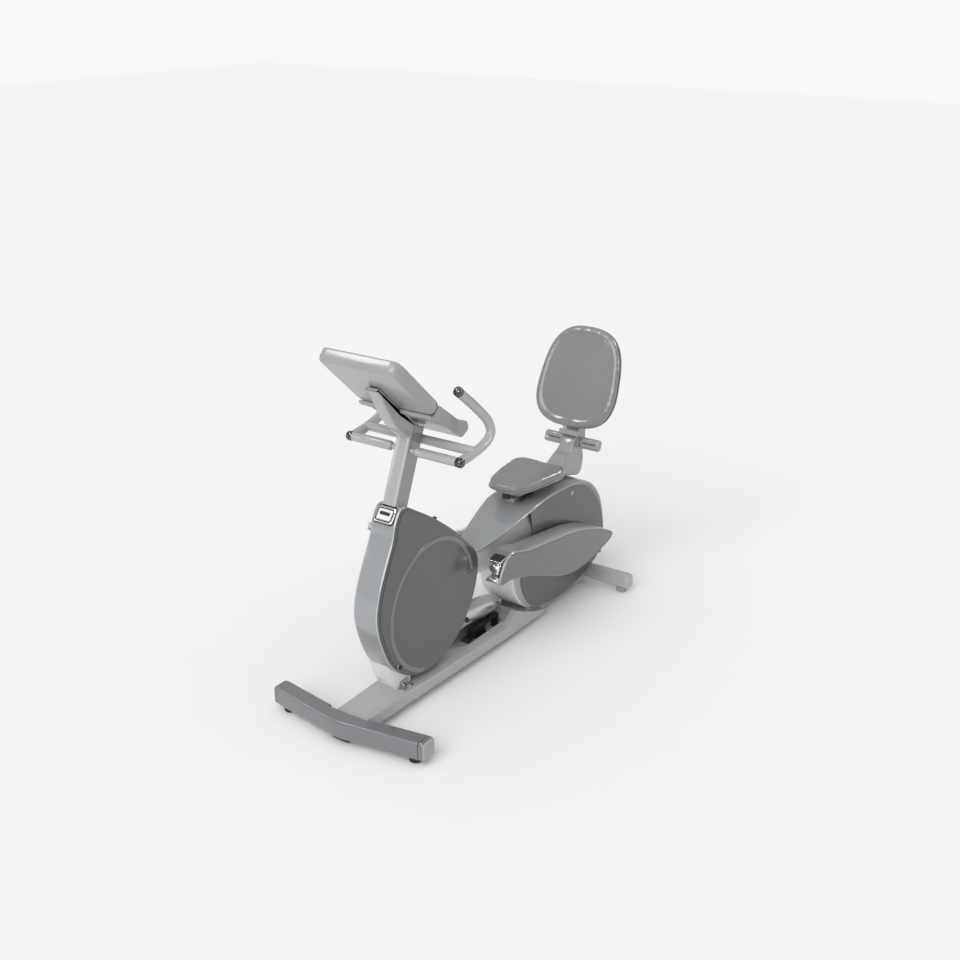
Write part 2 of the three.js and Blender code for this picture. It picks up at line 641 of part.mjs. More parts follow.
function addRearFrame() {
  const plateOutline = points([
    [-600, 86], [-380, 86], [-370, 300], [-330, 400], [-190, 450],
    [-190, 466], [-560, 486], [-622, 440], [-622, 260],
  ]);
  const rail = box(RAIL.rear, -RAIL.half, RAIL.bottom, RAIL.front, RAIL.half, RAIL.top);
  const ties = COLUMNS.map(([x0, x1]) => box(x0, -PLATE.outer, 460, x1, PLATE.outer, 468));
  const base = box(-600, -PLATE.outer, BEAM.top + GAP, -380, PLATE.outer, 90);
  const holes = [
    rodAcross(ARM_PIVOT.x, ARM_PIVOT.z, HUB.radius + GAP, -60, 60),
    rodAcross(JACK.x, JACK.z, 8.4, -60, 60),
  ];
  const plates = [1, -1].map((side) => sidePrism(plateOutline, ...onSide(side, PLATE.inner, PLATE.outer)));
  const frame = cut(join(base, rail, railColumns(0), ...plates, ...ties), ...holes);
  bike.add(part("rear_frame", castIron, frame));
}

function addDrive() {
  const pulleyRadius = 90;
  const smallRadius = 18;
  const largeRadius = 42;
  const flywheelPulley = 28;
  const pulley = turned(
    [
      [0.01, -110], [12, -110], [12, -9], [30, -9], [34, -3], [80, -3], [80, -7], [pulleyRadius, -7],
      [pulleyRadius, 7], [80, 7], [80, 3], [34, 3], [30, 9], [12, 9], [12, 110], [0.01, 110],
    ],
    0, 0, 20,
  );
  const pulleyMesh = part("drive_pulley", steel, pulley);
  pulleyMesh.position.set(ARM_PIVOT.x, 0, ARM_PIVOT.z);
  bike.add(pulleyMesh);

  const jack = turned(
    [
      [0.01, -35.5], [8, -35.5], [8, -8], [smallRadius, -8], [smallRadius, 8], [12, 8], [12, 13],
      [largeRadius, 13], [largeRadius, 27], [8, 27], [8, 35.5], [0.01, 35.5],
    ],
    0, 0, ROUND,
  );
  const jackMesh = part("jackshaft", steel, jack);
  jackMesh.position.set(JACK.x, 0, JACK.z);
  bike.add(jackMesh);

  const belt = (a, radiusA, b, radiusB, yLow, yHigh) =>
    cut(
      sidePrism(beltLoop(a, radiusA + 3, b, radiusB + 3, 16), yLow, yHigh),
      sidePrism(beltLoop(a, radiusA + 0.8, b, radiusB + 0.8, 16), yLow - 1, yHigh + 1),
    );
  bike.add(part("rear_belt", rubber, belt(ARM_PIVOT, pulleyRadius, JACK, smallRadius, -6, 6)));
  bike.add(part("front_belt", rubber, belt(JACK, largeRadius, WHEEL, flywheelPulley, 14, 26)));
}

// ---- Swinging pedal arms ----
function addArm(side) {
  const name = sideName(side);
  const shape = sidePrism(armOutline, ...onSide(side, ARM.inner, ARM.outer), ARM.edge);
  const bore = rodAcross(ARM_PIVOT.x, ARM_PIVOT.z, HUB.radius + GAP, ...onSide(side, 60, HUB.end + GAP));
  const [pocketLow, pocketHigh] = onSide(side, ARM.inner - 4, PEDAL.outer);
  const pocket = join(
    rodAcross(PEDAL.x, PEDAL.z, 52, pocketLow, pocketHigh),
    box(PEDAL.x, pocketLow, 250, PEDAL.x + 108, pocketHigh, 480),
  );
  const pinHole = rodAcross(PEDAL.x, PEDAL.z, 6 + GAP, ...onSide(side, 60, 156));
  const arm = part(`${name}_arm`, shellPlastic, cut(shape, bore, pocket, pinHole));

  const tubeShape = [
    [HUB.bore, HUB.start], [HUB.clutch, HUB.start], [HUB.clutch, 26], [HUB.radius, 26],
    [HUB.radius, HUB.end], [HUB.bore, HUB.end],
  ];
  const profile = side > 0 ? tubeShape : tubeShape.map(([r, y]) => [r, -y]).reverse();
  const hub = part(`${name}_hub`, steel, turned(profile, ARM_PIVOT.x, ARM_PIVOT.z, ROUND));

  const pin = part(`${name}_pedal_pin`, steel, rodAcross(PEDAL.x, PEDAL.z, 6, ...onSide(side, 93, 155)));
  const span = onSide(side, PEDAL.inner + 1.5, PEDAL.outer - 1.5);
  const web = sidePrism(points([[38, 344], [66, 344], [66, 412], [38, 412]]), ...onSide(side, 112, 136));
  const topPlate = sidePrism(points([[22, 408], [64, 404], [68, 412], [24, 418]]), ...span);
  const lowPlate = sidePrism(points([[30, 338], [76, 334], [82, 346], [32, 350]]), ...span);
  const barrel = rodAcross(PEDAL.x, PEDAL.z, 21, ...span);
  const hole = rodAcross(PEDAL.x, PEDAL.z, 6 + GAP, -200, 200);
  const pedal = part(`${name}_pedal`, chrome, cut(join(barrel, web, topPlate, lowPlate), hole));
  bike.add(arm, hub, pin, pedal);
}

// ---- Seat and backrest ----
function addSeat() {
  const runner = { rear: -470, front: -232, half: 28, bottom: RAIL.bottom + 2, top: RAIL.top + 8 };
  const channel = cut(
    box(runner.rear, -runner.half, runner.bottom, runner.front, runner.half, runner.top),
    box(runner.rear - 10, -RAIL.half - GAP, 0, runner.front + 10, RAIL.half + GAP, RAIL.top + GAP),
  );
  const web = sidePrism(points([[-462, 533], [-236, 531], [-200, 553], [-462, 553]]), -18, 18);
  const plate = planPrism(roundedRectangle(260, 110, 20), 550, SEAT.bottom - GAP).translate([-326, 0, 0]);
  bike.add(part("seat_carriage", blackPlastic, join(channel, web, plate)));

  const half = [[-474, 42], [-464, 94], [-430, 118], [-368, 113], [-280, 94], [-205, 70], [-166, 44]];
  const plan = smooth([...half, ...half.map(([x, y]) => [x, -y]).reverse()], 32);
  bike.add(part("seat_pad", cushion, planPrism(plan, SEAT.bottom, SEAT.top, 14)));

  const leverShaft = rodAcross(LEVER.x, LEVER.z, 6, 28 + GAP, 44);
  const lever = join(leverShaft, box(LEVER.x - 4, 38, 523, LEVER.x + 80, 46, 532));
  bike.add(part("seat_lock_lever", blackPlastic, lever));
}

const reclineWorld = new THREE.Vector3(RECLINE.x, 0, RECLINE.z)
  .applyAxisAngle(new THREE.Vector3(0, 1, 0), radians(-BACK.lean))
  .add(new THREE.Vector3(BACK.x, 0, BACK.z));

function addSupportArm() {
  const { x, z } = reclineWorld;
  const outline = [
    ...points([[-470.4, 531], [-600, 531], [-644, 510], [-672, 526], [-690, 556]]),
    ...arc(x, z, 35, 190, 40, 8),
    ...points([[-619, 622], [-592, 604], [-556, 590], [-512, 560], [-470.4, 556]]),
  ];
  const pin = rodAcross(x, z, 12, -50, 50);
  const paddle = roundedRectangle(30, 46, 13, 2);
  const paddles = [1, -1].map((side) =>
    sidePrism(paddle, ...onSide(side, 41, 124), 6).rotate([0, -BACK.lean, 0]).translate([x, 0, z]),
  );
  bike.add(part("support_arm", darkPaint, join(sidePrism(outline, -30, 30, 4), pin, ...paddles)));
}

function eggOutline(shrink, count) {
  const halfHeight = BACK.height / 2;
  const power = 2 / 2.8;
  return Array.from({ length: count }, (_, i) => {
    const angle = (2 * Math.PI * i) / count;
    const across = Math.sign(Math.cos(angle)) * Math.abs(Math.cos(angle)) ** power;
    const up = Math.sign(Math.sin(angle)) * Math.abs(Math.sin(angle)) ** power;
    const width = (BACK.half - shrink) * (1 - 0.11 * up);
    return new THREE.Vector2(width * across, halfHeight - 6 + (halfHeight - shrink) * up);
  });
}

function addBackrest() {
  const pad = part("backrest_pad", cushion, frontPrism(eggOutline(0, 28), -BACK.pad, 0, 11));
  const back = -BACK.pad - 0.3;
  const shellBody = frontPrism(eggOutline(6, 28), back - BACK.shell, back, 5);
  const shell = part("backrest_shell", panelPlastic, shellBody);
  const plateFace = back - BACK.shell - 0.3;
  const plate = sidePrism(
    points([
      [-22, -14], [-22, -32], [-46, -36], [-62, -18], [-84, -11.5], [-104, -17], [-92, 12], [-64, 50],
      [-60, 170], [plateFace, 170], [plateFace, -14],
    ]),
    -37, 37,
  );
  const earOutline = [
    ...arc(RECLINE.x, RECLINE.z, 26, 160, 380, 8),
    ...points([[-58, -19], [-84, -8], [-104, -14]]),
  ];
  const pinHole = rodAcross(RECLINE.x, RECLINE.z, 12 + GAP, -60, 60);
  const ears = [1, -1].map((side) => sidePrism(earOutline, ...onSide(side, 30.8, 37)));
  const bracket = part("backrest_bracket", lightPaint, cut(join(plate, ...ears), pinHole));
  const backrest = group([pad, shell, bracket], BACK.x, 0, BACK.z);
  backrest.rotation.y = radians(-BACK.lean);
  bike.add(backrest);
}

addFrontStabilizer();
addRearStabilizer();
addBeam();
addPowerPack();
addFramePost();
addBoot();
addFrontHousing();
addLatch();
addFlywheel();
addMast();
addHandlebar();
addConsoleBracket();
addConsole();
addRearHousing();
addRearFrame();
addDrive();
addArm(1);
addArm(-1);
addSeat();
addSupportArm();
addBackrest();

export default bike;
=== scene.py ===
"""Looks for the recumbent exercise bike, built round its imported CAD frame.

Lengths are written in millimetres and turned into metres where a mesh is made.
X points forward to the console, Y to the rider's left and Z up.
"""

import json
import math

import bmesh
import bpy
from mathutils import Matrix, Vector


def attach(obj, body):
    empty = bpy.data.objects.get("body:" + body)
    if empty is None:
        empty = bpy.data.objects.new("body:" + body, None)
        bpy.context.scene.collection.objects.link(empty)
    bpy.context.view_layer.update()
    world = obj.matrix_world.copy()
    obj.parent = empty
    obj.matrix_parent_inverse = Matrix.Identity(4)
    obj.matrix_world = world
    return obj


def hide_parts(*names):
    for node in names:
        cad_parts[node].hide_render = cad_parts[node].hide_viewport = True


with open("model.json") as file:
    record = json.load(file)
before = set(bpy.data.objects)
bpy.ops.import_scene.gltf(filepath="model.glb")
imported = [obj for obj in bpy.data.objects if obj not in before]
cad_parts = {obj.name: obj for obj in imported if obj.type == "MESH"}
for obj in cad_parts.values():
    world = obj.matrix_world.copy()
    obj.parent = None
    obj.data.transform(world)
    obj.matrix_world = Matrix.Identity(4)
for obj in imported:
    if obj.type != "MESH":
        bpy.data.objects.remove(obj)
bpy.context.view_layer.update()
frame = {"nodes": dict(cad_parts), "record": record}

MM = 0.001
SIDES = ((1, "left"), (-1, "right"))
SHARP = math.radians(38)
SLOT_OF = {entry["node"]: entry["material_slot"] for entry in frame["record"]["subparts"]}

# Frames of the pieces that stand at an angle: where each one starts, and how far it leans.
LEANS = {
    "mast": Matrix.Translation((465.6, 0, 737.5)) @ Matrix.Rotation(math.radians(-22), 4, "Y"),
    "console": Matrix.Translation((565.5, 0, 1172.5)) @ Matrix.Rotation(math.radians(47), 4, "Y"),
    "backrest": Matrix.Translation((-610, 0, 700)) @ Matrix.Rotation(math.radians(-23), 4, "Y"),
    "latch": Matrix.Translation((515.5, 0, 716.5)) @ Matrix.Rotation(math.radians(-38), 4, "Y"),
}
UPRIGHT = Matrix.Identity(4)

# Half widths of the housings and their skins, and the reach of the left pedal arm along Y.
FRONT_HALF = 54
REAR_HALF = 77
SKIN = 3
ARM_INNER, ARM_OUTER = 84, 162

# Pivots and centres in the side view, as (x, z).
HUB = (-490, 265)
PEDAL_PIN = (52, 378)
RECLINE_PIN = (-667.4, 620.2)
FLYWHEEL = Vector((338, 337))

ARM_TAIL, ARM_NOSE = -727, 82
BAR_RADIUS = 16

# The backrest pad's half width and half height, the height of its middle, how much it narrows
# towards its top, and how square its corners are.
PAD_HALF, PAD_TALL, PAD_MIDDLE = 174, 203, 197
PAD_TAPER = 0.11
PAD_POWER = 2.8


# ---- Materials ----
def surface(
    name, color, roughness, metallic=0.0, grain=220.0, bump=0.02, coat=0.0, variation=0.06, edge_lift=0.12
):
    """A painted, moulded or metal surface with mottled colour and gloss, fine relief and edges that turn
    lighter where they are sharp.
    """
    material = bpy.data.materials.new(name)
    material.use_nodes = True
    nodes = material.node_tree.nodes
    links = material.node_tree.links
    shader = nodes["Principled BSDF"]
    shader.inputs["Metallic"].default_value = metallic
    shader.inputs["Coat Weight"].default_value = coat
    shader.inputs["Coat Roughness"].default_value = 0.06
    place = nodes.new("ShaderNodeTexCoord")

    cloudy = nodes.new("ShaderNodeTexNoise")
    cloudy.inputs["Scale"].default_value = 7.0
    cloudy.inputs["Detail"].default_value = 3.0
    links.new(place.outputs["Object"], cloudy.inputs["Vector"])
    tint = nodes.new("ShaderNodeMix")
    tint.data_type = "RGBA"
    tint.inputs["A"].default_value = (*[c * (1 - variation) for c in color], 1)
    tint.inputs["B"].default_value = (*[min(1, c * (1 + variation)) for c in color], 1)
    links.new(cloudy.outputs["Fac"], tint.inputs["Factor"])

    # Sharp convex edges turn lighter, found from pointiness.
    geometry = nodes.new("ShaderNodeNewGeometry")
    edge = nodes.new("ShaderNodeMapRange")
    edge.inputs["From Min"].default_value = 0.53
    edge.inputs["From Max"].default_value = 0.62
    edge.inputs["To Max"].default_value = edge_lift
    links.new(geometry.outputs["Pointiness"], edge.inputs["Value"])
    lifted = nodes.new("ShaderNodeMix")
    lifted.data_type = "RGBA"
    lifted.inputs["B"].default_value = (*[min(1, c * 1.5 + 0.05) for c in color], 1)
    links.new(edge.outputs["Result"], lifted.inputs["Factor"])
    links.new(tint.outputs["Result"], lifted.inputs["A"])
    links.new(lifted.outputs["Result"], shader.inputs["Base Color"])

    gloss = nodes.new("ShaderNodeMapRange")
    gloss.inputs["To Min"].default_value = max(0.02, roughness * 0.8)
    gloss.inputs["To Max"].default_value = min(1, roughness * 1.25)
    links.new(cloudy.outputs["Fac"], gloss.inputs["Value"])
    links.new(gloss.outputs["Result"], shader.inputs["Roughness"])

    fine = nodes.new("ShaderNodeTexNoise")
    fine.inputs["Scale"].default_value = grain
    fine.inputs["Detail"].default_value = 2.0
    links.new(place.outputs["Object"], fine.inputs["Vector"])
    relief = nodes.new("ShaderNodeBump")
    relief.inputs["Strength"].default_value = bump
    relief.inputs["Distance"].default_value = 0.001
    links.new(fine.outputs["Fac"], relief.inputs["Height"])
    links.new(relief.outputs["Normal"], shader.inputs["Normal"])
    return material


def faded(name, color, ahead, roughness, near, far, foot, head):
    """A surface that turns to the tone ahead, from far to near along X and from foot to head in height."""
    material = surface(name, color, roughness, bump=0.05, coat=0.3)
    nodes = material.node_tree.nodes
    links = material.node_tree.links
    place = nodes.new("ShaderNodeTexCoord")
    parts = nodes.new("ShaderNodeSeparateXYZ")
    links.new(place.outputs["Object"], parts.inputs["Vector"])
    share = nodes.new("ShaderNodeMapRange")
    share.inputs["From Min"].default_value = far * MM
    share.inputs["From Max"].default_value = near * MM
    links.new(parts.outputs["X"], share.inputs["Value"])
    height = nodes.new("ShaderNodeMapRange")
    height.inputs["From Min"].default_value = foot * MM
    height.inputs["From Max"].default_value = head * MM
    links.new(parts.outputs["Z"], height.inputs["Value"])
    both = nodes.new("ShaderNodeMath")
    both.operation = "MULTIPLY"
    links.new(share.outputs["Result"], both.inputs[0])
    links.new(height.outputs["Result"], both.inputs[1])
    base = nodes["Principled BSDF"].inputs["Base Color"]
    plain = base.links[0].from_socket
    blend = nodes.new("ShaderNodeMix")
    blend.data_type = "RGBA"
    blend.inputs["B"].default_value = (*ahead, 1)
    links.new(both.outputs["Value"], blend.inputs["Factor"])
    links.new(plain, blend.inputs["A"])
    links.new(blend.outputs["Result"], base)
    return material


def chrome_with_painted_reflections(name):
    """Bright metal broken up by black patches, which are painted reflections of dark surroundings, as on the
    end caps of the bars.
    """
    material = surface(name, (0.75, 0.76, 0.77), 0.12, metallic=1.0)
    nodes = material.node_tree.nodes
    links = material.node_tree.links
    patches = nodes.new("ShaderNodeTexNoise")
    patches.inputs["Scale"].default_value = 70.0
    steps = nodes.new("ShaderNodeValToRGB")
    steps.color_ramp.elements[0].position = 0.555
    steps.color_ramp.elements[0].color = (0.01, 0.01, 0.012, 1)
    steps.color_ramp.elements[1].position = 0.63
    steps.color_ramp.elements[1].color = (0.8, 0.81, 0.82, 1)
    links.new(patches.outputs["Fac"], steps.inputs["Fac"])
    links.new(steps.outputs["Color"], nodes["Principled BSDF"].inputs["Base Color"])
    return material


MATERIALS = {
    "light_paint": surface("light paint", (0.40, 0.408, 0.408), 0.22, coat=0.6),
    "dark_paint": surface("dark paint", (0.17, 0.175, 0.184), 0.2, coat=0.7),
    "shell_plastic": surface("shell plastic", (0.31, 0.322, 0.334), 0.16, coat=0.7),
    "panel_plastic": surface("panel plastic", (0.088, 0.092, 0.091), 0.24, bump=0.05, coat=0.3),
    "console_plastic": surface("console plastic", (0.35, 0.358, 0.358), 0.26, bump=0.04, coat=0.4),
    "black_plastic": surface("black plastic", (0.012, 0.012, 0.013), 0.35, bump=0.08),
    "cushion_vinyl": surface("cushion vinyl", (0.215, 0.222, 0.221), 0.2, grain=420, bump=0.06, coat=0.6),
    "rubber": surface("rubber", (0.012, 0.012, 0.012), 0.7, bump=0.15),
    "steel": surface("steel", (0.42, 0.43, 0.44), 0.28, metallic=1.0, bump=0.04),
    "chrome": surface("chrome", (0.82, 0.83, 0.84), 0.08, metallic=1.0),
    "cast_iron": surface("cast iron", (0.05, 0.052, 0.055), 0.5, metallic=0.7, bump=0.2),
    "screen_glass": surface("screen glass", (0.01, 0.012, 0.014), 0.05, coat=1.0),
}
# A pale tone for parts painted pale. It is also laid on the rear housing's nose as a painted reflection of
# the bright floor.
PALE_AND_PAINTED_REFLECTION = surface("pale paint and painted reflection", (0.80, 0.81, 0.81), 0.2, coat=0.6)
# A painted glint: a bright glossy tone laid on rounded edges where highlights fall.
PAINTED_GLINT = surface("painted glint on edges", (0.40, 0.41, 0.42), 0.1, coat=1.0)
FADED_PANEL = faded(
    "rear panel", (0.084, 0.088, 0.087), (0.13, 0.134, 0.135), 0.24,
    near=-235, far=-330, foot=300, head=400,
)
# Painted shade and light on the rear housing's sides: darker than the top, and lighter towards the nose,
# where the deck above shades it.
SHELL_SIDE_PAINTED_SHADE_AND_LIGHT = faded(
    "rear housing side with painted shade and light", (0.22, 0.225, 0.23), (0.62, 0.63, 0.63), 0.2,
    near=-70, far=-250, foot=-200, head=-100,
)
# Painted shade: the mast's side faces in a darker tone than its front.
MAST_PAINTED_SHADE = surface("mast side with painted shade", (0.255, 0.262, 0.265), 0.15, coat=0.8)
# A painted highlight: a thin bright line along the front housing's edge.
PAINTED_HIGHLIGHT_LINE = surface("painted highlight line", (0.50, 0.51, 0.52), 0.08, coat=1.0)
NECK = surface("neck plastic", (0.30, 0.308, 0.312), 0.15, coat=0.8)
PALE_RUBBER = surface("pale rubber", (0.30, 0.305, 0.305), 0.45, bump=0.08)
# The ridge's tone is lighter than the panel's, a painted highlight along it.
RIDGE_PAINTED_HIGHLIGHT = surface("panel ridge with painted highlight", (0.17, 0.175, 0.173), 0.2, bump=0.04, coat=0.4)
# Painted shade: the pedal arms' flat sides in a darker tone than their tops.
ARM_PAINTED_SHADE = surface("arm side with painted shade", (0.125, 0.13, 0.131), 0.18, coat=0.6)
SILVER = surface("silver capsule", (0.62, 0.63, 0.64), 0.14, metallic=0.6, coat=0.6)
# Chrome with painted reflections, for the caps on the bars.
CHROME_PAINTED_REFLECTION = chrome_with_painted_reflections("chrome with painted reflections")


# ---- Curves and outlines ----
def smooth_curve(points, per, closed=True):
    """A centripetal curve through the points, with a number of steps per span."""
    knots = [Vector(p) for p in points]
    count = len(knots)
    made = []
    for i in range(count if closed else count - 1):
        if closed:
            p = [knots[(i + k - 1) % count] for k in range(4)]
        else:
            before = knots[i - 1] if i > 0 else 2 * knots[0] - knots[1]
            after = knots[i + 2] if i + 2 < count else 2 * knots[-1] - knots[-2]
            p = [before, knots[i], knots[i + 1], after]
        t = [0.0]
        for k in range(3):
            t.append(t[-1] + max((p[k + 1] - p[k]).length, 1e-6) ** 0.5)
        for step in range(per):
            u = t[1] + (t[2] - t[1]) * step / per
            a = [p[k].lerp(p[k + 1], (u - t[k]) / (t[k + 1] - t[k])) for k in range(3)]
            b = [a[k].lerp(a[k + 1], (u - t[k]) / (t[k + 2] - t[k])) for k in range(2)]
            made.append(b[0].lerp(b[1], (u - t[1]) / (t[2] - t[1])))
    if not closed:
        made.append(knots[-1])
    return made


def offset(outline, distance):
    """Moves each point of a closed outline inwards by a distance."""
    area = sum(a.x * b.y - b.x * a.y for a, b in zip(outline, outline[1:] + outline[:1]))
    turn = 1 if area > 0 else -1
    made = []
    for i, point in enumerate(outline):
        along = outline[(i + 1) % len(outline)] - outline[i - 1]
        normal = Vector((-along.y, along.x)).normalized() * turn
        made.append(point + normal * distance)
    return made


def rounded_corners(points, radius, steps=6):
    """A closed outline with rounded corners; radius is one number or one for each corner."""
    corners = [Vector(p) for p in points]
    radii = radius if isinstance(radius, list) else [radius] * len(corners)
    made = []
    for i, corner in enumerate(corners):
        before, after = corners[i - 1], corners[(i + 1) % len(corners)]
        reach = min(radii[i], (before - corner).length * 0.45, (after - corner).length * 0.45)
        start = corner + (before - corner).normalized() * reach
        end = corner + (after - corner).normalized() * reach
        for step in range(steps + 1):
            s = step / steps
            made.append(start.lerp(corner, s).lerp(corner.lerp(end, s), s))
    return made


def rectangle(u0, v0, u1, v1):
    return [(u0, v0), (u1, v0), (u1, v1), (u0, v1)]


def disc(x, z, radius, steps=36):
    angles = [2 * math.pi * k / steps for k in range(steps)]
    return [(x + radius * math.cos(a), z + radius * math.sin(a)) for a in angles]


def circle_path(x, z, radius, y, steps=32):
    """A closed ring of points round an axis along Y."""
    angles = [2 * math.pi * i / steps for i in range(steps + 1)]
    return [Vector((x + radius * math.cos(a), y, z + radius * math.sin(a))) for a in angles]


def contains(outline, point):
    """True where a point lies inside a closed outline."""
    inside = False
    for a, b in zip(outline, outline[1:] + outline[:1]):
        if (a.y > point.y) != (b.y > point.y):
            crossing = a.x + (point.y - a.y) * (b.x - a.x) / (b.y - a.y)
            if point.x < crossing:
                inside = not inside
    return inside


def span(sign, inner, outer):
    """The low and high Y of something between two distances from the middle, on one side."""
    return sorted((sign * inner, sign * outer))


def clamp(value):
    return min(1, max(0, value))


def eased(share):
    """A share from 0 to 1 with a soft start and end."""
    return share * share * (3 - 2 * share)


# ---- Meshes ----
# side, plan and front turn an outline's two coordinates and a depth into a point in space.
def side(u, v, w):
    return Vector((u, w, v))


def plan(u, v, w):
    return Vector((u, v, w))


def front(u, v, w):
    return Vector((w, u, v))


def mesh_of(name, rings, lean=UPRIGHT):
    """A closed skin over rings of points; the rings are in millimetres and the mesh is in metres."""
    mesh = bpy.data.meshes.new(name)
    work = bmesh.new()
    rows = [[work.verts.new((lean @ p) * MM) for p in ring] for ring in rings]
    count = len(rows[0])
    for low, high in zip(rows, rows[1:]):
        for i in range(count):
            j = (i + 1) % count
            work.faces.new((low[i], low[j], high[j], high[i]))
    work.faces.new(rows[0])
    work.faces.new(rows[-1])
    bmesh.ops.recalc_face_normals(work, faces=work.faces)
    work.to_mesh(mesh)
    work.free()
    mesh.shade_smooth()
    mesh.set_sharp_from_angle(angle=SHARP)
    return mesh


def slab_rings(outline, low, high, low_edge, high_edge, facing, steps=5):
    """Rings of a prism whose edges are rounded; each edge is (inset, depth)."""
    rings = []
    for level, (inset, depth), sign in ((low, low_edge, 1), (high, high_edge, -1)):
        made = [(inset + 1.5, level)]
        for step in range(steps + 1):
            angle = math.pi / 2 * step / steps
            made.append((inset * (1 - math.sin(angle)), level + sign * depth * (1 - math.cos(angle))))
        rings += made if sign > 0 else made[::-1]
    return [[facing(p.x, p.y, w) for p in offset(outline, inset)] for inset, w in rings]


def slab(name, outline, low, high, edge, facing=side, lean=UPRIGHT, far_edge=None):
    """A prism with rounded edges; an edge is one number or (inset, depth), and far_edge is the high one."""
    low_edge = edge if isinstance(edge, tuple) else (edge, edge)
    high_edge = far_edge or low_edge
    return mesh_of(name, slab_rings(outline, low, high, low_edge, high_edge, facing), lean)


def block(outline, low, high, facing=side, lean=UPRIGHT):
    """A plain prism, used only to cut with."""
    return mesh_of("block", [[facing(*p, level) for p in outline] for level in (low, high)], lean)


def swept(name, path, radius, around=20, dome=0.7, lean=UPRIGHT):
    """A round bar along a path, with domed ends; radius is a number or (across, up)."""
    wide, tall = radius if isinstance(radius, tuple) else (radius, radius)
    rows = []
    normal = None
    for i, point in enumerate(path):
        along = (path[min(i + 1, len(path) - 1)] - path[max(i - 1, 0)]).normalized()
        if normal is None:
            helper = Vector((0, 0, 1)) if abs(along.z) < 0.9 else Vector((1, 0, 0))
            normal = along.cross(helper).normalized()
        normal = (normal - along * normal.dot(along)).normalized()
        rows.append((point, along, normal, along.cross(normal)))

    def ring(row, scale, shift):
        point, along, across, up = row
        made = []
        for i in range(around):
            angle = 2 * math.pi * i / around
            spread = across * (wide * scale * math.cos(angle)) + up * (tall * scale * math.sin(angle))
            made.append(point + along * shift + spread)
        return made

    bulge = min(wide, tall) * dome
    angles = [math.radians(a) for a in (85, 65, 45, 25)]
    rings = [ring(rows[0], math.cos(a), -bulge * math.sin(a)) for a in angles]
    rings += [ring(row, 1, 0) for row in rows]
    rings += [ring(rows[-1], math.cos(a), bulge * math.sin(a)) for a in reversed(angles)]
    return mesh_of(name, rings, lean)


def ellipsoid(name, centre, radii, lean=UPRIGHT, power=1.0, rows=14, around=28):
    """A rounded blob; a power below one makes it squarer."""
    def shaped(value):
        return math.copysign(abs(value) ** power, value)

    rings = []
    for i in range(1, rows):
        tilt = math.pi * i / rows - math.pi / 2
        rings.append([
            Vector(centre) + Vector((
                radii[0] * shaped(math.sin(tilt)),
                radii[1] * shaped(math.cos(tilt)) * shaped(math.cos(2 * math.pi * k / around)),
                radii[2] * shaped(math.cos(tilt)) * shaped(math.sin(2 * math.pi * k / around)),
            ))
            for k in range(around)
        ])
    return mesh_of(name, rings, lean)


def joined(name, *meshes):
    """One mesh out of several closed skins."""
    work = bmesh.new()
    for mesh in meshes:
        work.from_mesh(mesh)
    made = bpy.data.meshes.new(name)
    work.to_mesh(made)
    work.free()
    return made


def inside_out(mesh):
    """Turns a skin's faces round, for the inner side of a hollow."""
    mesh.flip_normals()
    return mesh


# ---- Pieces ----
def piece(name, mesh, body, nodes=(), slot=None, material=None):
    """Shows a mesh as a piece that moves with a body and may stand for CAD nodes."""
    made = bpy.data.objects.new(name, mesh)
    bpy.context.scene.collection.objects.link(made)
    slot = slot or SLOT_OF[nodes[0]]
    made.data.materials.append(material or MATERIALS[slot])
    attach(made, body)
    if nodes:
        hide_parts(*nodes)
    return made


def baked(made):
    """A copy of an object's mesh with its modifiers applied."""
    bpy.context.view_layer.update()
    return bpy.data.meshes.new_from_object(made.evaluated_get(bpy.context.evaluated_depsgraph_get()))


def carve(made, *cutters):
    """Cuts closed skins out of a piece, one after another."""
    for mesh in cutters:
        made.data.validate()
        tool = bpy.data.objects.new("cutter", mesh)
        bpy.context.scene.collection.objects.link(tool)
        modifier = made.modifiers.new("cut", "BOOLEAN")
        modifier.operation = "DIFFERENCE"
        modifier.solver = "EXACT"
        modifier.object = tool
        made.data = baked(made)
        made.modifiers.clear()
        bpy.data.objects.remove(tool)
    made.data.set_sharp_from_angle(angle=SHARP)
    return made


def crisp(node, body, width=1.5, segments=3, material=None):
    """The CAD node's own shape with its edges rounded and its round faces smooth."""
    work = bmesh.new()
    work.from_mesh(frame["nodes"][node].data)
    bmesh.ops.remove_doubles(work, verts=work.verts, dist=1e-5)
    bmesh.ops.dissolve_limit(work, angle_limit=math.radians(1), verts=work.verts, edges=work.edges)
    mesh = bpy.data.meshes.new(node + "_fine")
    work.to_mesh(mesh)
    work.free()
    mesh.shade_smooth()
    mesh.set_sharp_from_angle(angle=SHARP)
    made = piece(node + "_fine", mesh, body, [node], material=material)
    bevel = made.modifiers.new("edges", "BEVEL")
    bevel.width = width * MM
    bevel.segments = segments
    bevel.limit_method = "ANGLE"
    bevel.angle_limit = SHARP
    bevel.harden_normals = True
    return made


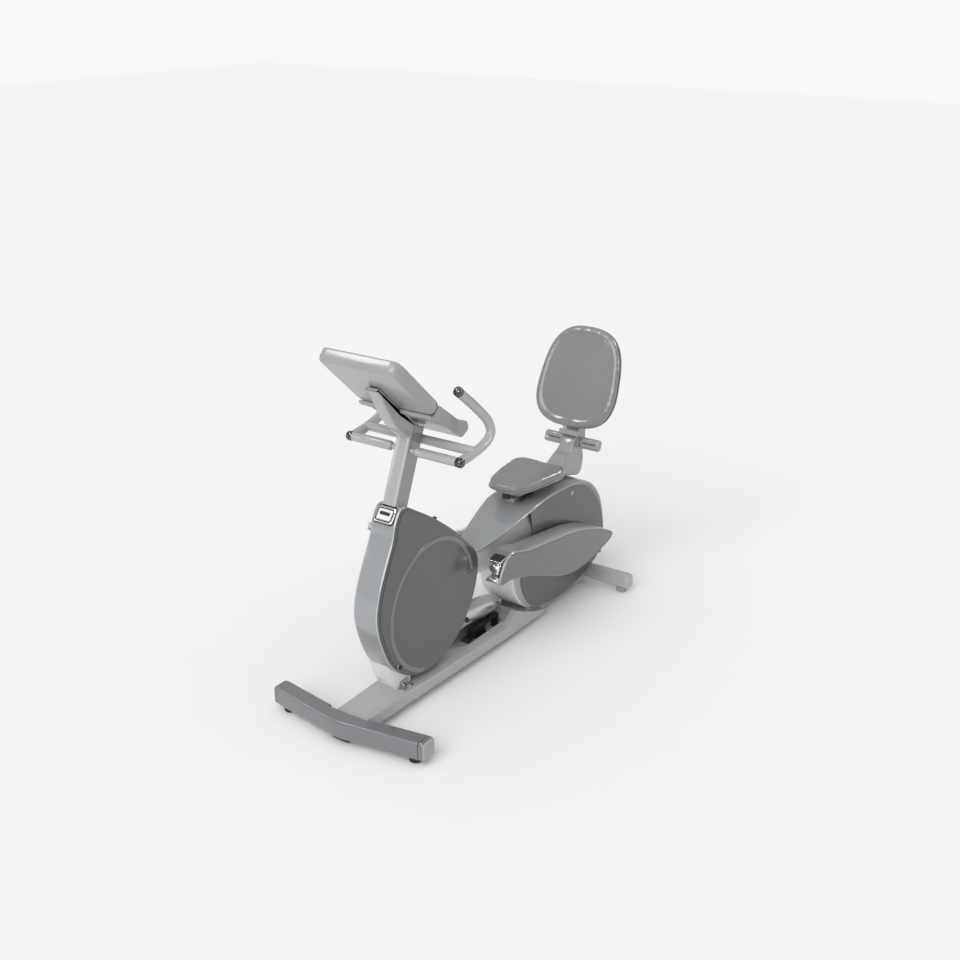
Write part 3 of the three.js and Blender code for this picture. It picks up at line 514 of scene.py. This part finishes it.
# ---- Shared outlines, seen from the left as (x, z) ----
FRONT_LINE = smooth_curve(
    [
        (490, 743), (393, 697), (237, 590), (150, 512), (64, 415), (90, 270), (205, 136), (330, 91),
        (433, 98), (558, 181), (622, 310), (638, 394), (624, 470), (587, 556), (545, 640), (529, 695),
    ],
    7,
)
REAR_TOP = smooth_curve(
    [
        (72, 432), (0, 450), (-110, 480), (-220, 510), (-300, 518), (-390, 516), (-491, 508), (-600, 492),
        (-652, 474), (-705, 443), (-762, 376), (-793, 290), (-803, 205), (-775, 112),
    ],
    6,
    closed=False,
)
REAR_UNDER = smooth_curve(
    [
        (-775, 112), (-679, 62), (-540, 34), (-404, 34), (-290, 56), (-200, 105), (-140, 180),
        (-108, 270), (-20, 318), (72, 336),
    ],
    6,
    closed=False,
)
REAR_LINE = REAR_TOP[:-1] + REAR_UNDER
REAR_PANEL = smooth_curve(
    [
        (-238, 490), (-300, 499), (-390, 499), (-495, 491), (-570, 479), (-645, 452), (-701, 411),
        (-750, 350), (-784, 270), (-790, 200), (-760, 120), (-670, 80), (-540, 50), (-404, 50),
        (-305, 66), (-253, 92), (-208, 140), (-178, 222), (-205, 300), (-246, 380), (-246, 440),
    ],
    6,
)
ARM_LINE = smooth_curve(
    [
        (22, 425), (-110, 404), (-277, 382), (-428, 360), (-540, 331), (-660, 284), (-727, 240), (-690, 214),
        (-593, 194), (-497, 179), (-395, 187), (-310, 212), (-200, 257), (-88, 298), (10, 322), (82, 332),
    ],
    7,
)


# ---- Beam and stabilizers ----
def add_beam():
    crisp("main_beam", "base", 4)
    crisp("pack_clamp", "base", 1.5)
    crisp("clamp_bolt", "base", 1)
    centre = Vector((-32, -23, 143))
    nose_up = Matrix.Rotation(math.radians(-9), 4, "Y")
    lean = Matrix.Translation(centre) @ nose_up @ Matrix.Translation(-centre)
    capsule = ellipsoid("power_pack_fine", centre, (134, 36, 38), lean, power=0.75)
    piece("power_pack_fine", capsule, "base", ["power_pack"], material=SILVER)
    dot = slab("pack_dot", rounded_corners(rectangle(66, 138, 84, 156), 9), 8, 14, 2)
    piece("pack_dot", dot, "base", slot="black_plastic")


def add_front_stabilizer():
    """A bar bent like a shallow V, drawn past its ends and then cut off flat at its caps."""
    reach, cut = 340, 297
    bends = [(805, 0), (751.2, reach), (685.2, reach), (739, 0), (685.2, -reach), (751.2, -reach)]
    outline = rounded_corners(bends, [34, 26, 26, 20, 26, 26], 8)
    shape = slab("bar", outline, 22, 88, (9, 13), plan)
    bar = piece("front_stabilizer_fine", shape, "base", ["front_stabilizer"])
    beam_seat = block(rectangle(600, -84, 742.5, 84), 27, 200, plan)
    roller_bay = block(rectangle(743, -34, 795, 34), 0, 50, plan)
    left_end = block(rectangle(600, cut, 900, 400), 0, 120, plan)
    right_end = block(rectangle(600, -400, 900, -cut), 0, 120, plan)
    carve(bar, beam_seat, roller_bay, left_end, right_end)
    cap_outline = rounded_corners(rectangle(-33, -33, 33, 33), 15)
    for sign, word in SIDES:
        lean = Matrix.Translation((723, sign * 309, 55))
        low_edge, high_edge = ((1, 1), (8, 11))[::sign]
        shape = slab("cap", cap_outline, -11, 11, low_edge, side, lean, far_edge=high_edge)
        cap = piece(f"front_cap_{word}_fine", shape, "base", [f"front_cap_{word}"])
        # Painted light: the cap's end faces keep its own finish, while the faces round them take dark paint,
        # so one part is shown lit at its end and shaded at its front.
        cap.data.materials.append(MATERIALS["dark_paint"])
        for face in cap.data.polygons:
            if abs(face.normal.y) < 0.45:
                face.material_index = 1
        crisp(f"front_foot_{word}", "base", 1.5)
        crisp(f"rear_foot_{word}", "base", 1.5, material=PALE_RUBBER)
    crisp("transport_roller", "roller", 1)
    crisp("rear_stabilizer", "base", 5, 4)


# ---- Front housing ----
def add_front_housing():
    edge = 13
    inner_half = FRONT_HALF - SKIN
    outer = slab("outer", FRONT_LINE, -FRONT_HALF, FRONT_HALF, edge)
    inner = inside_out(slab("inner", offset(FRONT_LINE, SKIN), -inner_half, inner_half, edge - SKIN))
    shell = piece("front_housing", joined("front_housing", outer, inner), "base",
                  ["front_shell_left", "front_shell_right"])
    mast_opening = block(rectangle(-36.5, -28.5, 36.5, 28.5), -60, 60, plan, LEANS["mast"])
    belt_opening = block(rectangle(20, 334, 130, 414), -32, 32)
    post_opening = block(rectangle(439, -23, 496, 15), 60, 160, plan)
    carve(shell, mast_opening, belt_opening, post_opening)
    shell.data.materials.append(PAINTED_HIGHLIGHT_LINE)
    shell.data.materials.append(MATERIALS["panel_plastic"])
    # Along the rounded edge, side-facing faces take the dark panel colour, and a thin front-facing strip
    # takes a painted highlight line.
    for face in shell.data.polygons:
        outward = abs(face.normal.y)
        on_edge = abs(face.center.y) > (FRONT_HALF - edge) * MM
        if on_edge and outward > 0.6:
            face.material_index = 2
        elif on_edge and outward > 0.35 and face.normal.x > 0:
            face.material_index = 1
    panel_face = FRONT_HALF + 2.9
    inner_line = offset(FRONT_LINE, 17)
    for sign, word in SIDES:
        plate = slab("plate", offset(FRONT_LINE, 12.5), *span(sign, FRONT_HALF + 0.3, panel_face), 1.2)
        arc = []
        for degrees in range(-74, 170, 2):
            angle = math.radians(degrees)
            point = FLYWHEEL + Vector((math.cos(angle), math.sin(angle))) * 233
            if contains(inner_line, point):
                arc.append(Vector((point.x, sign * panel_face, point.y)))
        piece(f"front_panel_{word}_fine", plate, "base", [f"front_panel_{word}"])
        # The ridge's lighter tone is a painted highlight along it.
        ridge = swept("ridge", arc, (3.0, 8.5), 14)
        piece(f"front_ridge_{word}", ridge, "base", slot="panel_plastic", material=RIDGE_PAINTED_HIGHLIGHT)
    plug = slab("plug", rounded_corners(rectangle(526, 173, 544, 191), 9), 57, 63, 1.5)
    piece("cable_plug_fine", plug, "base", ["cable_plug"])
    ring = swept("plug_ring", circle_path(535, 182, 11, 57.5), 1.6, 8)
    piece("cable_plug_ring", ring, "base", slot="steel")
    button = slab("top_button", rounded_corners(rectangle(296, 634, 314, 645), 5), 32, 44, 1.5)
    piece("top_button", button, "base", slot="black_plastic")
    crisp("mast_knob", "knob", 2, material=PALE_AND_PAINTED_REFLECTION)
    crisp("housing_boot", "base", 3, material=PALE_AND_PAINTED_REFLECTION)
    crisp("post_bracket", "base", 1)


def add_latch():
    """The latch below the mast: a bezel with two dark rings, and a paddle with a dark bar."""
    crisp("latch_bezel", "base", 1.5)
    crisp("latch_paddle", "latch", 1.5, material=PALE_AND_PAINTED_REFLECTION)
    lean = LEANS["latch"]
    for wide, tall, depth, thickness in ((39.4, 29.4, 1.5, 1.8), (31.4, 21.4, 6.2, 1.5)):
        frame_line = rounded_corners(rectangle(-wide, -tall, wide, tall), tall / 3)
        path = [front(point.x, point.y, depth) for point in frame_line]
        ring = swept("latch_ring", path + path[:1], thickness, 8, lean=lean)
        piece(f"latch_ring_{round(wide)}", ring, "base", slot="black_plastic")
    bar = slab("latch_bar", rounded_corners(rectangle(-20, -2, 20, 9), 3), 8.2, 9.6, 0.5, front, lean)
    piece("latch_bar", bar, "latch", slot="black_plastic")


# ---- Mast, handlebar and console ----
def add_mast():
    mast = crisp("mast", "mast", 1.5)
    mast.data.materials.append(MAST_PAINTED_SHADE)
    # Painted shade: the mast's side faces take a darker tone than its front.
    for face in mast.data.polygons:
        if abs(face.normal.y) > 0.9:
            face.material_index = 1
    front_bars = [
        swept("bar", [Vector((411, sign * y, 914)) for y in (56, 130, 214)], BAR_RADIUS) for sign in (1, -1)
    ]
    rear_bar = swept("bar", [Vector((332, y, 927.5)) for y in (-219, 0, 219)], BAR_RADIUS)
    spigot = swept("bar", [Vector((411, y, 914)) for y in (-45, 45)], 8.5)
    grips = []
    for sign in (1, -1):
        path = smooth_curve(
            [
                (415, sign * 219, 913), (332, sign * 221, 922.5), (262, sign * 222, 941),
                (235, sign * 220, 962), (240, sign * 215, 998), (284, sign * 206, 1051),
                (368, sign * 190, 1130),
            ],
            8,
            closed=False,
        )
        grips.append(swept("bar", path, BAR_RADIUS))
    piece("handlebar_fine", joined("handlebar", *front_bars, rear_bar, spigot, *grips), "mast", ["handlebar"])
    for sign, word in SIDES:
        elbow = swept("cap", [Vector((412, sign * (216 + step), 914)) for step in (0, 12)], BAR_RADIUS + 0.6)
        piece(f"elbow_cap_{word}", elbow, "mast", slot="chrome", material=CHROME_PAINTED_REFLECTION)
        tip = Vector((368, sign * 190, 1130))
        along = (tip - Vector((330, sign * 197.5, 1094))).normalized()
        grip_end = swept("cap", [tip - along * 3, tip + along * 7], BAR_RADIUS + 0.8)
        piece(f"grip_cap_{word}", grip_end, "mast", slot="chrome", material=CHROME_PAINTED_REFLECTION)


def add_console():
    lean = LEANS["console"]
    spine_line = rounded_corners(
        [
            (5, -10), (14, -4), (20, -34), (33, -74), (46, -118), (59, -176), (56, -255),
            (4, -290), (-6, -276), (3, -200), (12.8, -176), (12.8, -151), (1, -147), (1, -20),
        ],
        14,
    )
    spine = slab("spine", spine_line, -24, 24, 5, side, lean)
    piece("console_bracket_fine", spine, "mast", ["console_bracket"])
    pin = slab("pin", rounded_corners(rectangle(10, -14, 16, -8), 3), -24.8, 24.8, 0.5, side, lean)
    piece("tilt_pin", pin, "mast", slot="black_plastic")

    outline = rounded_corners(rectangle(-155, -165, 155, 118), 34, 10)
    slab_mesh = slab("slab", outline, -46, 0, (10, 8), front, lean, far_edge=(15, 16))
    body = piece("console_body_fine", slab_mesh, "console", ["console_body"])
    screen_recess = block(rectangle(-126, -27, 126, 99), -60, -43.6, front, lean)
    carve(body, screen_recess)
    # Painted shade: a black strip round one lower corner of the slab stands for the shade in a notch there.
    corner_radius = 34.4
    corner = [
        Vector((-36, 121 + corner_radius * math.cos(angle), -131 - corner_radius * math.sin(angle)))
        for angle in [math.radians(step) for step in range(15, 80, 5)]
    ]
    notch = swept("notch", corner, 2.4, 8, lean=lean)
    piece("console_notch_shade", notch, "console", slot="black_plastic")
    crisp("console_screen", "console", 0.5)
    for word in ("level_down", "start", "level_up"):
        crisp(f"{word}_button", word, 0.8)
    tray_line = rounded_corners(
        [
            (0.4, -150), (12, -154), (12, -172), (-4, -200), (-22, -358),
            (-65, -372), (-80, -345), (-61, -305), (-45, -166), (0.4, -166),
        ],
        10,
    )
    piece("reading_tray_fine", slab("tray", tray_line, -145, 145, 4, side, lean), "console", ["reading_tray"])


# ---- Rear housing ----
# The deck's half width along the machine, as (x, half width).
DECK_HALF = [
    (72, 46), (0, 65), (-60, 78), (-140, 93), (-220, 103), (-280, 101), (-390, 90), (-491, 86), (-600, 82),
    (-700, 79), (-900, 78),
]


def deck_half(x):
    """The deck's half width at one place along the machine."""
    for (x0, half0), (x1, half1) in zip(DECK_HALF, DECK_HALF[1:]):
        if x >= x1:
            return half0 + (half1 - half0) * clamp((x0 - x) / (x0 - x1))
    return DECK_HALF[-1][1]


def deck_mesh(thickness=11, crown=5):
    """The crowned top, wider than the sides so that its edge overhangs as a rounded lip."""
    rings = []
    for i, point in enumerate(REAR_TOP):
        along = (REAR_TOP[min(i + 1, len(REAR_TOP) - 1)] - REAR_TOP[max(i - 1, 0)]).normalized()
        out = Vector((along.y, -along.x)) if along.x < 0 else Vector((-along.y, along.x))
        half = deck_half(point.x)
        radius = thickness / 2
        sunk = crown * 0.6
        top = []
        for step in range(17):
            s = step / 16 * 2 - 1
            top.append((s * (half - radius), crown * (1 - s * s) - sunk))
        lip = []
        for angle in (60, 30, 0, -30, -60):
            a = math.radians(angle)
            lip.append((half - radius + radius * math.cos(a), -radius - sunk + radius * math.sin(a)))
        lip.append((half - radius, -thickness - sunk))
        section = top + lip + [(-across, up) for across, up in reversed(lip)]
        rings.append([Vector((point.x + out.x * up, across, point.y + out.y * up)) for across, up in section])
    return mesh_of("deck", rings)


def taper_front(mesh):
    """Narrows the rear housing towards its nose."""
    for vertex in mesh.vertices:
        vertex.co.y *= 1 - 0.4 * eased(clamp((vertex.co.x / MM + 130) / 180))
    return mesh


def add_rear_housing():
    edge = 12
    below_deck = 3
    inner_half = REAR_HALF - SKIN
    outer = slab("outer", offset(REAR_LINE, below_deck), -REAR_HALF, REAR_HALF, edge)
    inner = slab("inner", offset(REAR_LINE, below_deck + SKIN), -inner_half, inner_half, edge - SKIN)
    outer, inner = taper_front(outer), taper_front(inside_out(inner))
    shell = piece("rear_housing", joined("rear_housing", outer, inner), "base",
                  ["rear_shell_left", "rear_shell_right"])
    hub_hole = block(disc(*HUB, 24), -130, 130)
    belt_opening = block(rectangle(20, 334, 130, 416), -31, 31)
    open_floor = block(rectangle(-820, -63, 0, 63), 0, 74.4, plan)
    nose_cut = block([tuple(p) for p in offset(FRONT_LINE, -0.8)], -200, 200)
    carve(shell, hub_hole, belt_opening, open_floor, nose_cut)
    shell.data.materials.append(PALE_AND_PAINTED_REFLECTION)
    shell.data.materials.append(SHELL_SIDE_PAINTED_SHADE_AND_LIGHT)
    # On the lower nose, faces that look ahead take a pale tone as a painted reflection of the floor. Side
    # faces take a tone with painted shade, and painted light towards the nose.
    for face in shell.data.polygons:
        x, _, z = face.center / MM
        ahead = face.normal.x > 0.35 and abs(face.normal.y) < 0.8
        if ahead and -260 < x < 0 and z < 400:
            face.material_index = 1
        elif abs(face.normal.y) >= 0.3:
            face.material_index = 2
    deck = piece("rear_deck", deck_mesh(), "base", slot="shell_plastic")
    carve(deck, nose_cut)
    deck.data.materials.append(PAINTED_GLINT)
    # Painted glints: the deck's rounded side edges, ahead of x = -340 mm, take a bright glossy tone.
    for face in deck.data.polygons:
        if 0.3 < abs(face.normal.y) < 0.85 and face.normal.z > 0.2 and face.center.x > -0.34:
            face.material_index = 1
    for sign, word in SIDES:
        plate = slab("panel", REAR_PANEL, *span(sign, REAR_HALF + 0.3, REAR_HALF + 2.9), 1.2)
        panel = piece(f"rear_panel_{word}_fine", plate, "base", [f"rear_panel_{word}"], material=FADED_PANEL)
        carve(panel, hub_hole)
        boss = swept("boss", [Vector((-533, sign * y, 460)) for y in (78, 81.5)], 10, 24, dome=0.25)
        piece(f"rear_boss_{word}", boss, "base", slot="shell_plastic")


# ---- Pedal arms ----
def crowned(mesh):
    """Raises the arm's top towards its middle, so that it slopes down to the outer edge."""
    for vertex in mesh.vertices:
        x, y, z = vertex.co / MM
        share = min(1, abs(abs(y) - ARM_INNER) / (ARM_OUTER - ARM_INNER))
        middle = 378 + (x - ARM_NOSE) * (0.215 if x > HUB[0] else 0.225)
        top = clamp((z - middle) / 40)
        fade = clamp((x - ARM_TAIL) / 200) * clamp((60 - x) / 160)
        vertex.co.z += (12 * math.sin(math.pi * (0.25 + share * 0.75)) - 5) * top * fade * MM
    return mesh


def arm_rings(low, high, steps=5, across=6):
    """Like slab_rings for the arm, with finer edges towards its thin tail and rings across its faces."""
    rings = []
    for level, sign in ((low, 1), (high, -1)):
        made = []
        for step in range(-1, steps + 1):
            angle = math.pi / 2 * max(step, 0) / steps
            inset = 8 * (1 - math.sin(angle)) + (1 if step < 0 else 0)
            made.append((inset, level + sign * 9 * (1 - math.cos(angle))))
        rings += made if sign > 0 else made[::-1]
    result = []
    for index, (inset, w) in enumerate(rings):
        if index == steps + 2:
            start, end = rings[index - 1][1], w
            levels = [start + (end - start) * k / across for k in range(1, across)]
            result += [[Vector((p.x, level, p.y)) for p in ARM_LINE] for level in levels]
        ring = []
        for p, moved in zip(ARM_LINE, offset(ARM_LINE, inset)):
            q = p.lerp(moved, min(1, max(0.1, (p.x - ARM_TAIL) / 120)))
            ring.append(Vector((q.x, w, q.y)))
        result.append(ring)
    return result


def add_arm(sign, word):
    shape = crowned(mesh_of("arm", arm_rings(*span(sign, ARM_INNER, ARM_OUTER))))
    body = f"{word}_arm"
    arm = piece(f"{word}_arm_fine", shape, body, [f"{word}_arm"])
    pedal_bay = block(rectangle(2, 250, 170, 470), *span(sign, 70, 151))
    hub_hole = block(disc(*HUB, 20.4), *span(sign, 60, 148.4))
    carve(arm, pedal_bay, hub_hole)
    arm.data.materials.append(ARM_PAINTED_SHADE)
    arm.data.materials.append(PAINTED_GLINT)
    # Painted shade on the arm's flat sides, and painted glints on the rounded edge between its top and outer
    # side.
    for face in arm.data.polygons:
        outward = face.normal.y * sign
        if abs(outward) > 0.72:
            face.material_index = 1
        if 0.5 < outward < 0.85 and face.normal.z > 0.3:
            face.material_index = 2
    crisp(f"{word}_hub", body, 1)
    crisp(f"{word}_pedal_pin", body, 1)
    add_pedal(sign, word)


def add_pedal(sign, word):
    """A barrel on the pin with a web through it, a treaded top plate and a hooked sole."""
    pin_x, pin_z = PEDAL_PIN
    middle = sign * 123.5
    half = 25.5
    tread_half = 22
    barrel = swept("barrel", [Vector((pin_x, middle + s * 14, pin_z)) for s in (-1, 0, 1)], 21, 28, dome=0.5)
    web = slab("web", rounded_corners(rectangle(38, 344, 66, 412), 4), middle - 12, middle + 12, 2)
    top_line = rounded_corners([(22, 407), (66, 402), (70, 412), (24, 419)], 3)
    top = slab("top", top_line, middle - half, middle + half, 2)
    sole_line = smooth_curve([(28, 350), (55, 349), (78, 344), (84, 336), (74, 331), (50, 335), (30, 338)], 5)
    sole = slab("sole", sole_line, middle - half, middle + half, 2)
    pedal = joined("pedal", barrel, web, top, sole)
    piece(f"{word}_pedal_fine", pedal, f"{word}_pedal", [f"{word}_pedal"])
    tread_line = rounded_corners([(27, 419), (64, 413), (65, 416), (28, 422)], 1.2)
    tread = slab("tread", tread_line, middle - tread_half, middle + tread_half, 1)
    piece(f"{word}_pedal_tread", tread, f"{word}_pedal", slot="rubber")


# ---- Seat and backrest ----
def inflate(made, pressure=4.0, last=20, travel=3.0):
    """Lets a cushion's cover swell over its filling, by no more than the travel, and keeps that shape."""
    start = [v.co.copy() for v in made.data.vertices]
    cloth = made.modifiers.new("cover", "CLOTH")
    cloth.settings.use_pressure = True
    cloth.settings.uniform_pressure_force = pressure
    cloth.settings.effector_weights.gravity = 0
    cloth.settings.quality = 4
    cloth.point_cache.frame_start = 1
    cloth.point_cache.frame_end = last
    scene = bpy.context.scene
    for number in range(1, last + 1):
        scene.frame_set(number)
    result = made.evaluated_get(bpy.context.evaluated_depsgraph_get()).data
    ends = [v.co.copy() for v in result.vertices]
    made.modifiers.clear()
    for vertex, before, after in zip(made.data.vertices, start, ends):
        move = after - before
        if move.length > travel * MM:
            move = move.normalized() * travel * MM
        vertex.co = before + move
    scene.frame_set(1)


def remeshed(name, mesh, size):
    """The same skin rebuilt from small even faces, so that it can swell like cloth."""
    made = bpy.data.objects.new(name, mesh)
    bpy.context.scene.collection.objects.link(made)
    modifier = made.modifiers.new("remesh", "REMESH")
    modifier.mode = "VOXEL"
    modifier.voxel_size = size * MM
    modifier.use_smooth_shade = True
    smoother = made.modifiers.new("smooth", "SMOOTH")
    smoother.iterations = 3
    result = baked(made)
    bpy.data.objects.remove(made)
    return result


def cushion(name, mesh, body, node):
    made = bpy.data.objects.new(name, mesh)
    bpy.context.scene.collection.objects.link(made)
    made.data.materials.append(MATERIALS["cushion_vinyl"])
    inflate(made)
    finer = made.modifiers.new("finer", "SUBSURF")
    finer.levels = 1
    finer.render_levels = 1
    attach(made, body)
    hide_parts(node)
    return made


def both_sides(half):
    """A closed plan outline from its left half and the mirror image of it."""
    return smooth_curve(half + [(x, -y) for x, y in reversed(half)], 6)


def add_seat():
    half = [(-464, 42), (-450, 94), (-416, 115), (-348, 112), (-263, 98), (-197, 79), (-163, 48)]
    shape = slab("seat", both_sides(half), 564, 605, (9, 10), plan, far_edge=(20, 15))
    shape = remeshed("seat", shape, 5)
    hollow = 5
    for vertex in shape.vertices:
        _, y, z = vertex.co / MM
        if z > 585:
            across = min(1, abs(y) / 105)
            vertex.co.z -= hollow * MM * (1 - across * across)
    cushion("seat_cushion", shape, "seat", "seat_pad")
    path = [Vector((p.x, p.y, 575)) for p in both_sides([(x, y * 0.99) for x, y in half])]
    seam = swept("seat_seam", path + path[:1], 2.2, 8)
    piece("seat_seam", seam, "seat", slot="cushion_vinyl")
    crisp("seat_carriage", "seat", 1.5, material=MATERIALS["dark_paint"])
    stop = slab("seat_stop", rounded_corners(rectangle(-16, 532, 16, 553), 5), -195.5, -190, 2, front)
    piece("seat_stop", stop, "seat", slot="black_plastic")
    crisp("seat_lock_lever", "seat_lever", 1.5)


def egg(shrink, steps=96):
    """The backrest's outline, egg shaped with squared corners and drawn in by a distance."""
    made = []
    for i in range(steps):
        angle = 2 * math.pi * i / steps
        across = math.copysign(abs(math.cos(angle)) ** (2 / PAD_POWER), math.cos(angle))
        up = math.copysign(abs(math.sin(angle)) ** (2 / PAD_POWER), math.sin(angle))
        half = (PAD_HALF - shrink) * (1 - PAD_TAPER * up)
        made.append(Vector((half * across, PAD_MIDDLE + (PAD_TALL - shrink) * up)))
    return made


def add_backrest():
    lean = LEANS["backrest"]
    shape = slab("pad", egg(1), -29.5, -1, (8, 8), front, far_edge=(20, 12))
    shape = remeshed("pad", shape, 5)
    hollow = 6
    for vertex in shape.vertices:
        x, y, z = vertex.co / MM
        up = (z - PAD_MIDDLE) / PAD_TALL
        across = abs(y) / (PAD_HALF * (1 - PAD_TAPER * up))
        reach = (across ** PAD_POWER + abs(up) ** PAD_POWER) ** (1 / PAD_POWER)
        if x > -18:
            vertex.co.x -= hollow * MM * eased(clamp((0.93 - reach) / 0.12))
    shape.transform(Matrix.Scale(MM, 4) @ lean @ Matrix.Scale(1 / MM, 4))
    cushion("backrest_cushion", shape, "backrest", "backrest_pad")
    back = slab("back", egg(5), -44.5, -30.3, (12, 8), front, lean, far_edge=(3, 3))
    piece("backrest_shell_fine", back, "backrest", ["backrest_shell"])
    crisp("backrest_bracket", "backrest", 4, 4, material=NECK)


def add_support_arm():
    line = smooth_curve(
        [
            (-471, 524), (-530, 516), (-585, 505), (-625, 494), (-655, 486), (-678, 496), (-690, 530),
            (-697, 575), (-702, 618), (-690, 645), (-667, 655), (-642, 647), (-619, 624), (-592, 604),
            (-556, 590), (-512, 562), (-471, 556),
        ],
        5,
    )
    foot_half, pin_half = 36, 30
    bar = slab("bar", line, -foot_half, foot_half, 9)
    for vertex in bar.vertices:
        share = clamp((vertex.co.z / MM - 548) / 40)
        vertex.co.y *= 1 - (foot_half - pin_half) / foot_half * eased(share)
    pin_x, pin_z = RECLINE_PIN
    lean = Matrix.Translation((pin_x, 0, pin_z)) @ Matrix.Rotation(math.radians(-23), 4, "Y")
    pin = swept("pin", [Vector((pin_x, y, pin_z)) for y in (-50, 50)], 11.5)
    paddle_line = rounded_corners(rectangle(-15, -23, 15, 23), 14)
    paddles = [slab("paddle", paddle_line, *span(sign, 41, 124), 9, side, lean) for sign in (1, -1)]
    arm = joined("support_arm", bar, pin, *paddles)
    piece("support_arm_fine", arm, "seat", ["support_arm"], material=NECK)
    # Painted shade: a thin black strip on each paddle stands for the shade in its slot.
    slot_line = rounded_corners(rectangle(14, -3, 16, 1), 0.8)
    for sign, word in SIDES:
        slot = slab("slot", slot_line, *span(sign, 50, 108), 0.4, side, lean)
        piece(f"paddle_slot_shade_{word}", slot, "seat", slot="black_plastic")


def add_insides():
    """The pieces inside the housings, seen only through their openings."""
    for node, body in (
        ("frame_post", "base"), ("flywheel", "flywheel"), ("flywheel_axle", "base"),
        ("brake_arm", "brake"), ("drive_pulley", "drive_pulley"), ("jackshaft", "jackshaft"),
        ("rear_belt", "base"), ("front_belt", "base"),
    ):
        crisp(node, body, 0.6, 2)
    crisp("rear_frame", "base", 1, material=MATERIALS["light_paint"])


# ---- Stage ----
def studio_world(level, rise):
    """A soft dome that brightens towards the top, seen by the camera as one pale tone."""
    world = bpy.data.worlds.new("studio")
    world.use_nodes = True
    nodes = world.node_tree.nodes
    links = world.node_tree.links
    place = nodes.new("ShaderNodeTexCoord")
    parts = nodes.new("ShaderNodeSeparateXYZ")
    links.new(place.outputs["Generated"], parts.inputs["Vector"])
    height = nodes.new("ShaderNodeMath")
    height.operation = "MULTIPLY_ADD"
    height.inputs[1].default_value = rise
    height.inputs[2].default_value = level
    links.new(parts.outputs["Z"], height.inputs[0])
    path = nodes.new("ShaderNodeLightPath")
    seen = nodes.new("ShaderNodeMix")
    seen.inputs["B"].default_value = 0.945
    links.new(path.outputs["Is Camera Ray"], seen.inputs["Factor"])
    links.new(height.outputs["Value"], seen.inputs["A"])
    links.new(seen.outputs["Result"], nodes["Background"].inputs["Strength"])
    nodes["Background"].inputs["Color"].default_value = (1, 1, 1, 1)
    return world


def add_stage():
    """The floor, the lights and the camera; azimuth and elevation are those of the photo."""
    scene = bpy.context.scene
    scene.view_settings.view_transform = "Standard"
    reach = 20000
    corners = rectangle(-reach, -reach, reach, reach)
    floor_mesh = mesh_of("floor", [[Vector((x, y, z)) for x, y in corners] for z in (-20, -0.5)])
    floor = bpy.data.objects.new("floor", floor_mesh)
    scene.collection.objects.link(floor)
    pale = surface("pale floor", (0.95, 0.95, 0.953), 0.6, edge_lift=0, variation=0.004)
    pale.node_tree.nodes["Principled BSDF"].inputs["Specular IOR Level"].default_value = 0
    floor_mesh.materials.append(pale)
    scene.world = studio_world(0.30, 0.46)
    data = bpy.data.lights.new("key", "SUN")
    data.energy = 1.8
    data.angle = math.radians(50)
    key = bpy.data.objects.new("key", data)
    key.rotation_euler = Vector((-0.80, -0.12, -0.62)).to_track_quat("-Z", "Y").to_euler()
    scene.collection.objects.link(key)
    for name, place, aim, size, power in (
        ("strip_low", (2.6, -2.9, 1.7), (-0.3, 0, 0.8), 0.55, 5),
        ("strip_side", (-3.1, 1.6, 3.0), (-0.2, 0, 0.5), 0.9, 40),
        ("strip_front", (1.6, -2.2, 4.1), (0.1, 0, 0.5), 0.9, 26),
        ("strip_back", (-1.8, 3.6, 2.4), (-0.3, 0, 0.5), 0.8, 25),
    ):
        data = bpy.data.lights.new(name, "AREA")
        data.size = size
        data.energy = power
        lamp = bpy.data.objects.new(name, data)
        lamp.location = place
        lamp.rotation_euler = (Vector(aim) - Vector(place)).to_track_quat("-Z", "Y").to_euler()
        lamp.visible_diffuse = False
        scene.collection.objects.link(lamp)

    view = bpy.data.cameras.new("camera")
    view.lens = 50
    view.sensor_width = 36
    camera = bpy.data.objects.new("camera", view)
    camera.location = (3.6125, 2.5140, 2.4220)
    azimuth, elevation = math.radians(124.67), math.radians(21.70)
    level = math.cos(elevation)
    direction = Vector((-math.sin(azimuth) * level, math.cos(azimuth) * level, -math.sin(elevation)))
    camera.rotation_euler = direction.to_track_quat("-Z", "Y").to_euler()
    scene.collection.objects.link(camera)
    scene.camera = camera


add_beam()
add_front_stabilizer()
add_front_housing()
add_latch()
add_mast()
add_console()
add_rear_housing()
for sign, word in SIDES:
    add_arm(sign, word)
add_seat()
add_backrest()
add_support_arm()
add_insides()
add_stage()
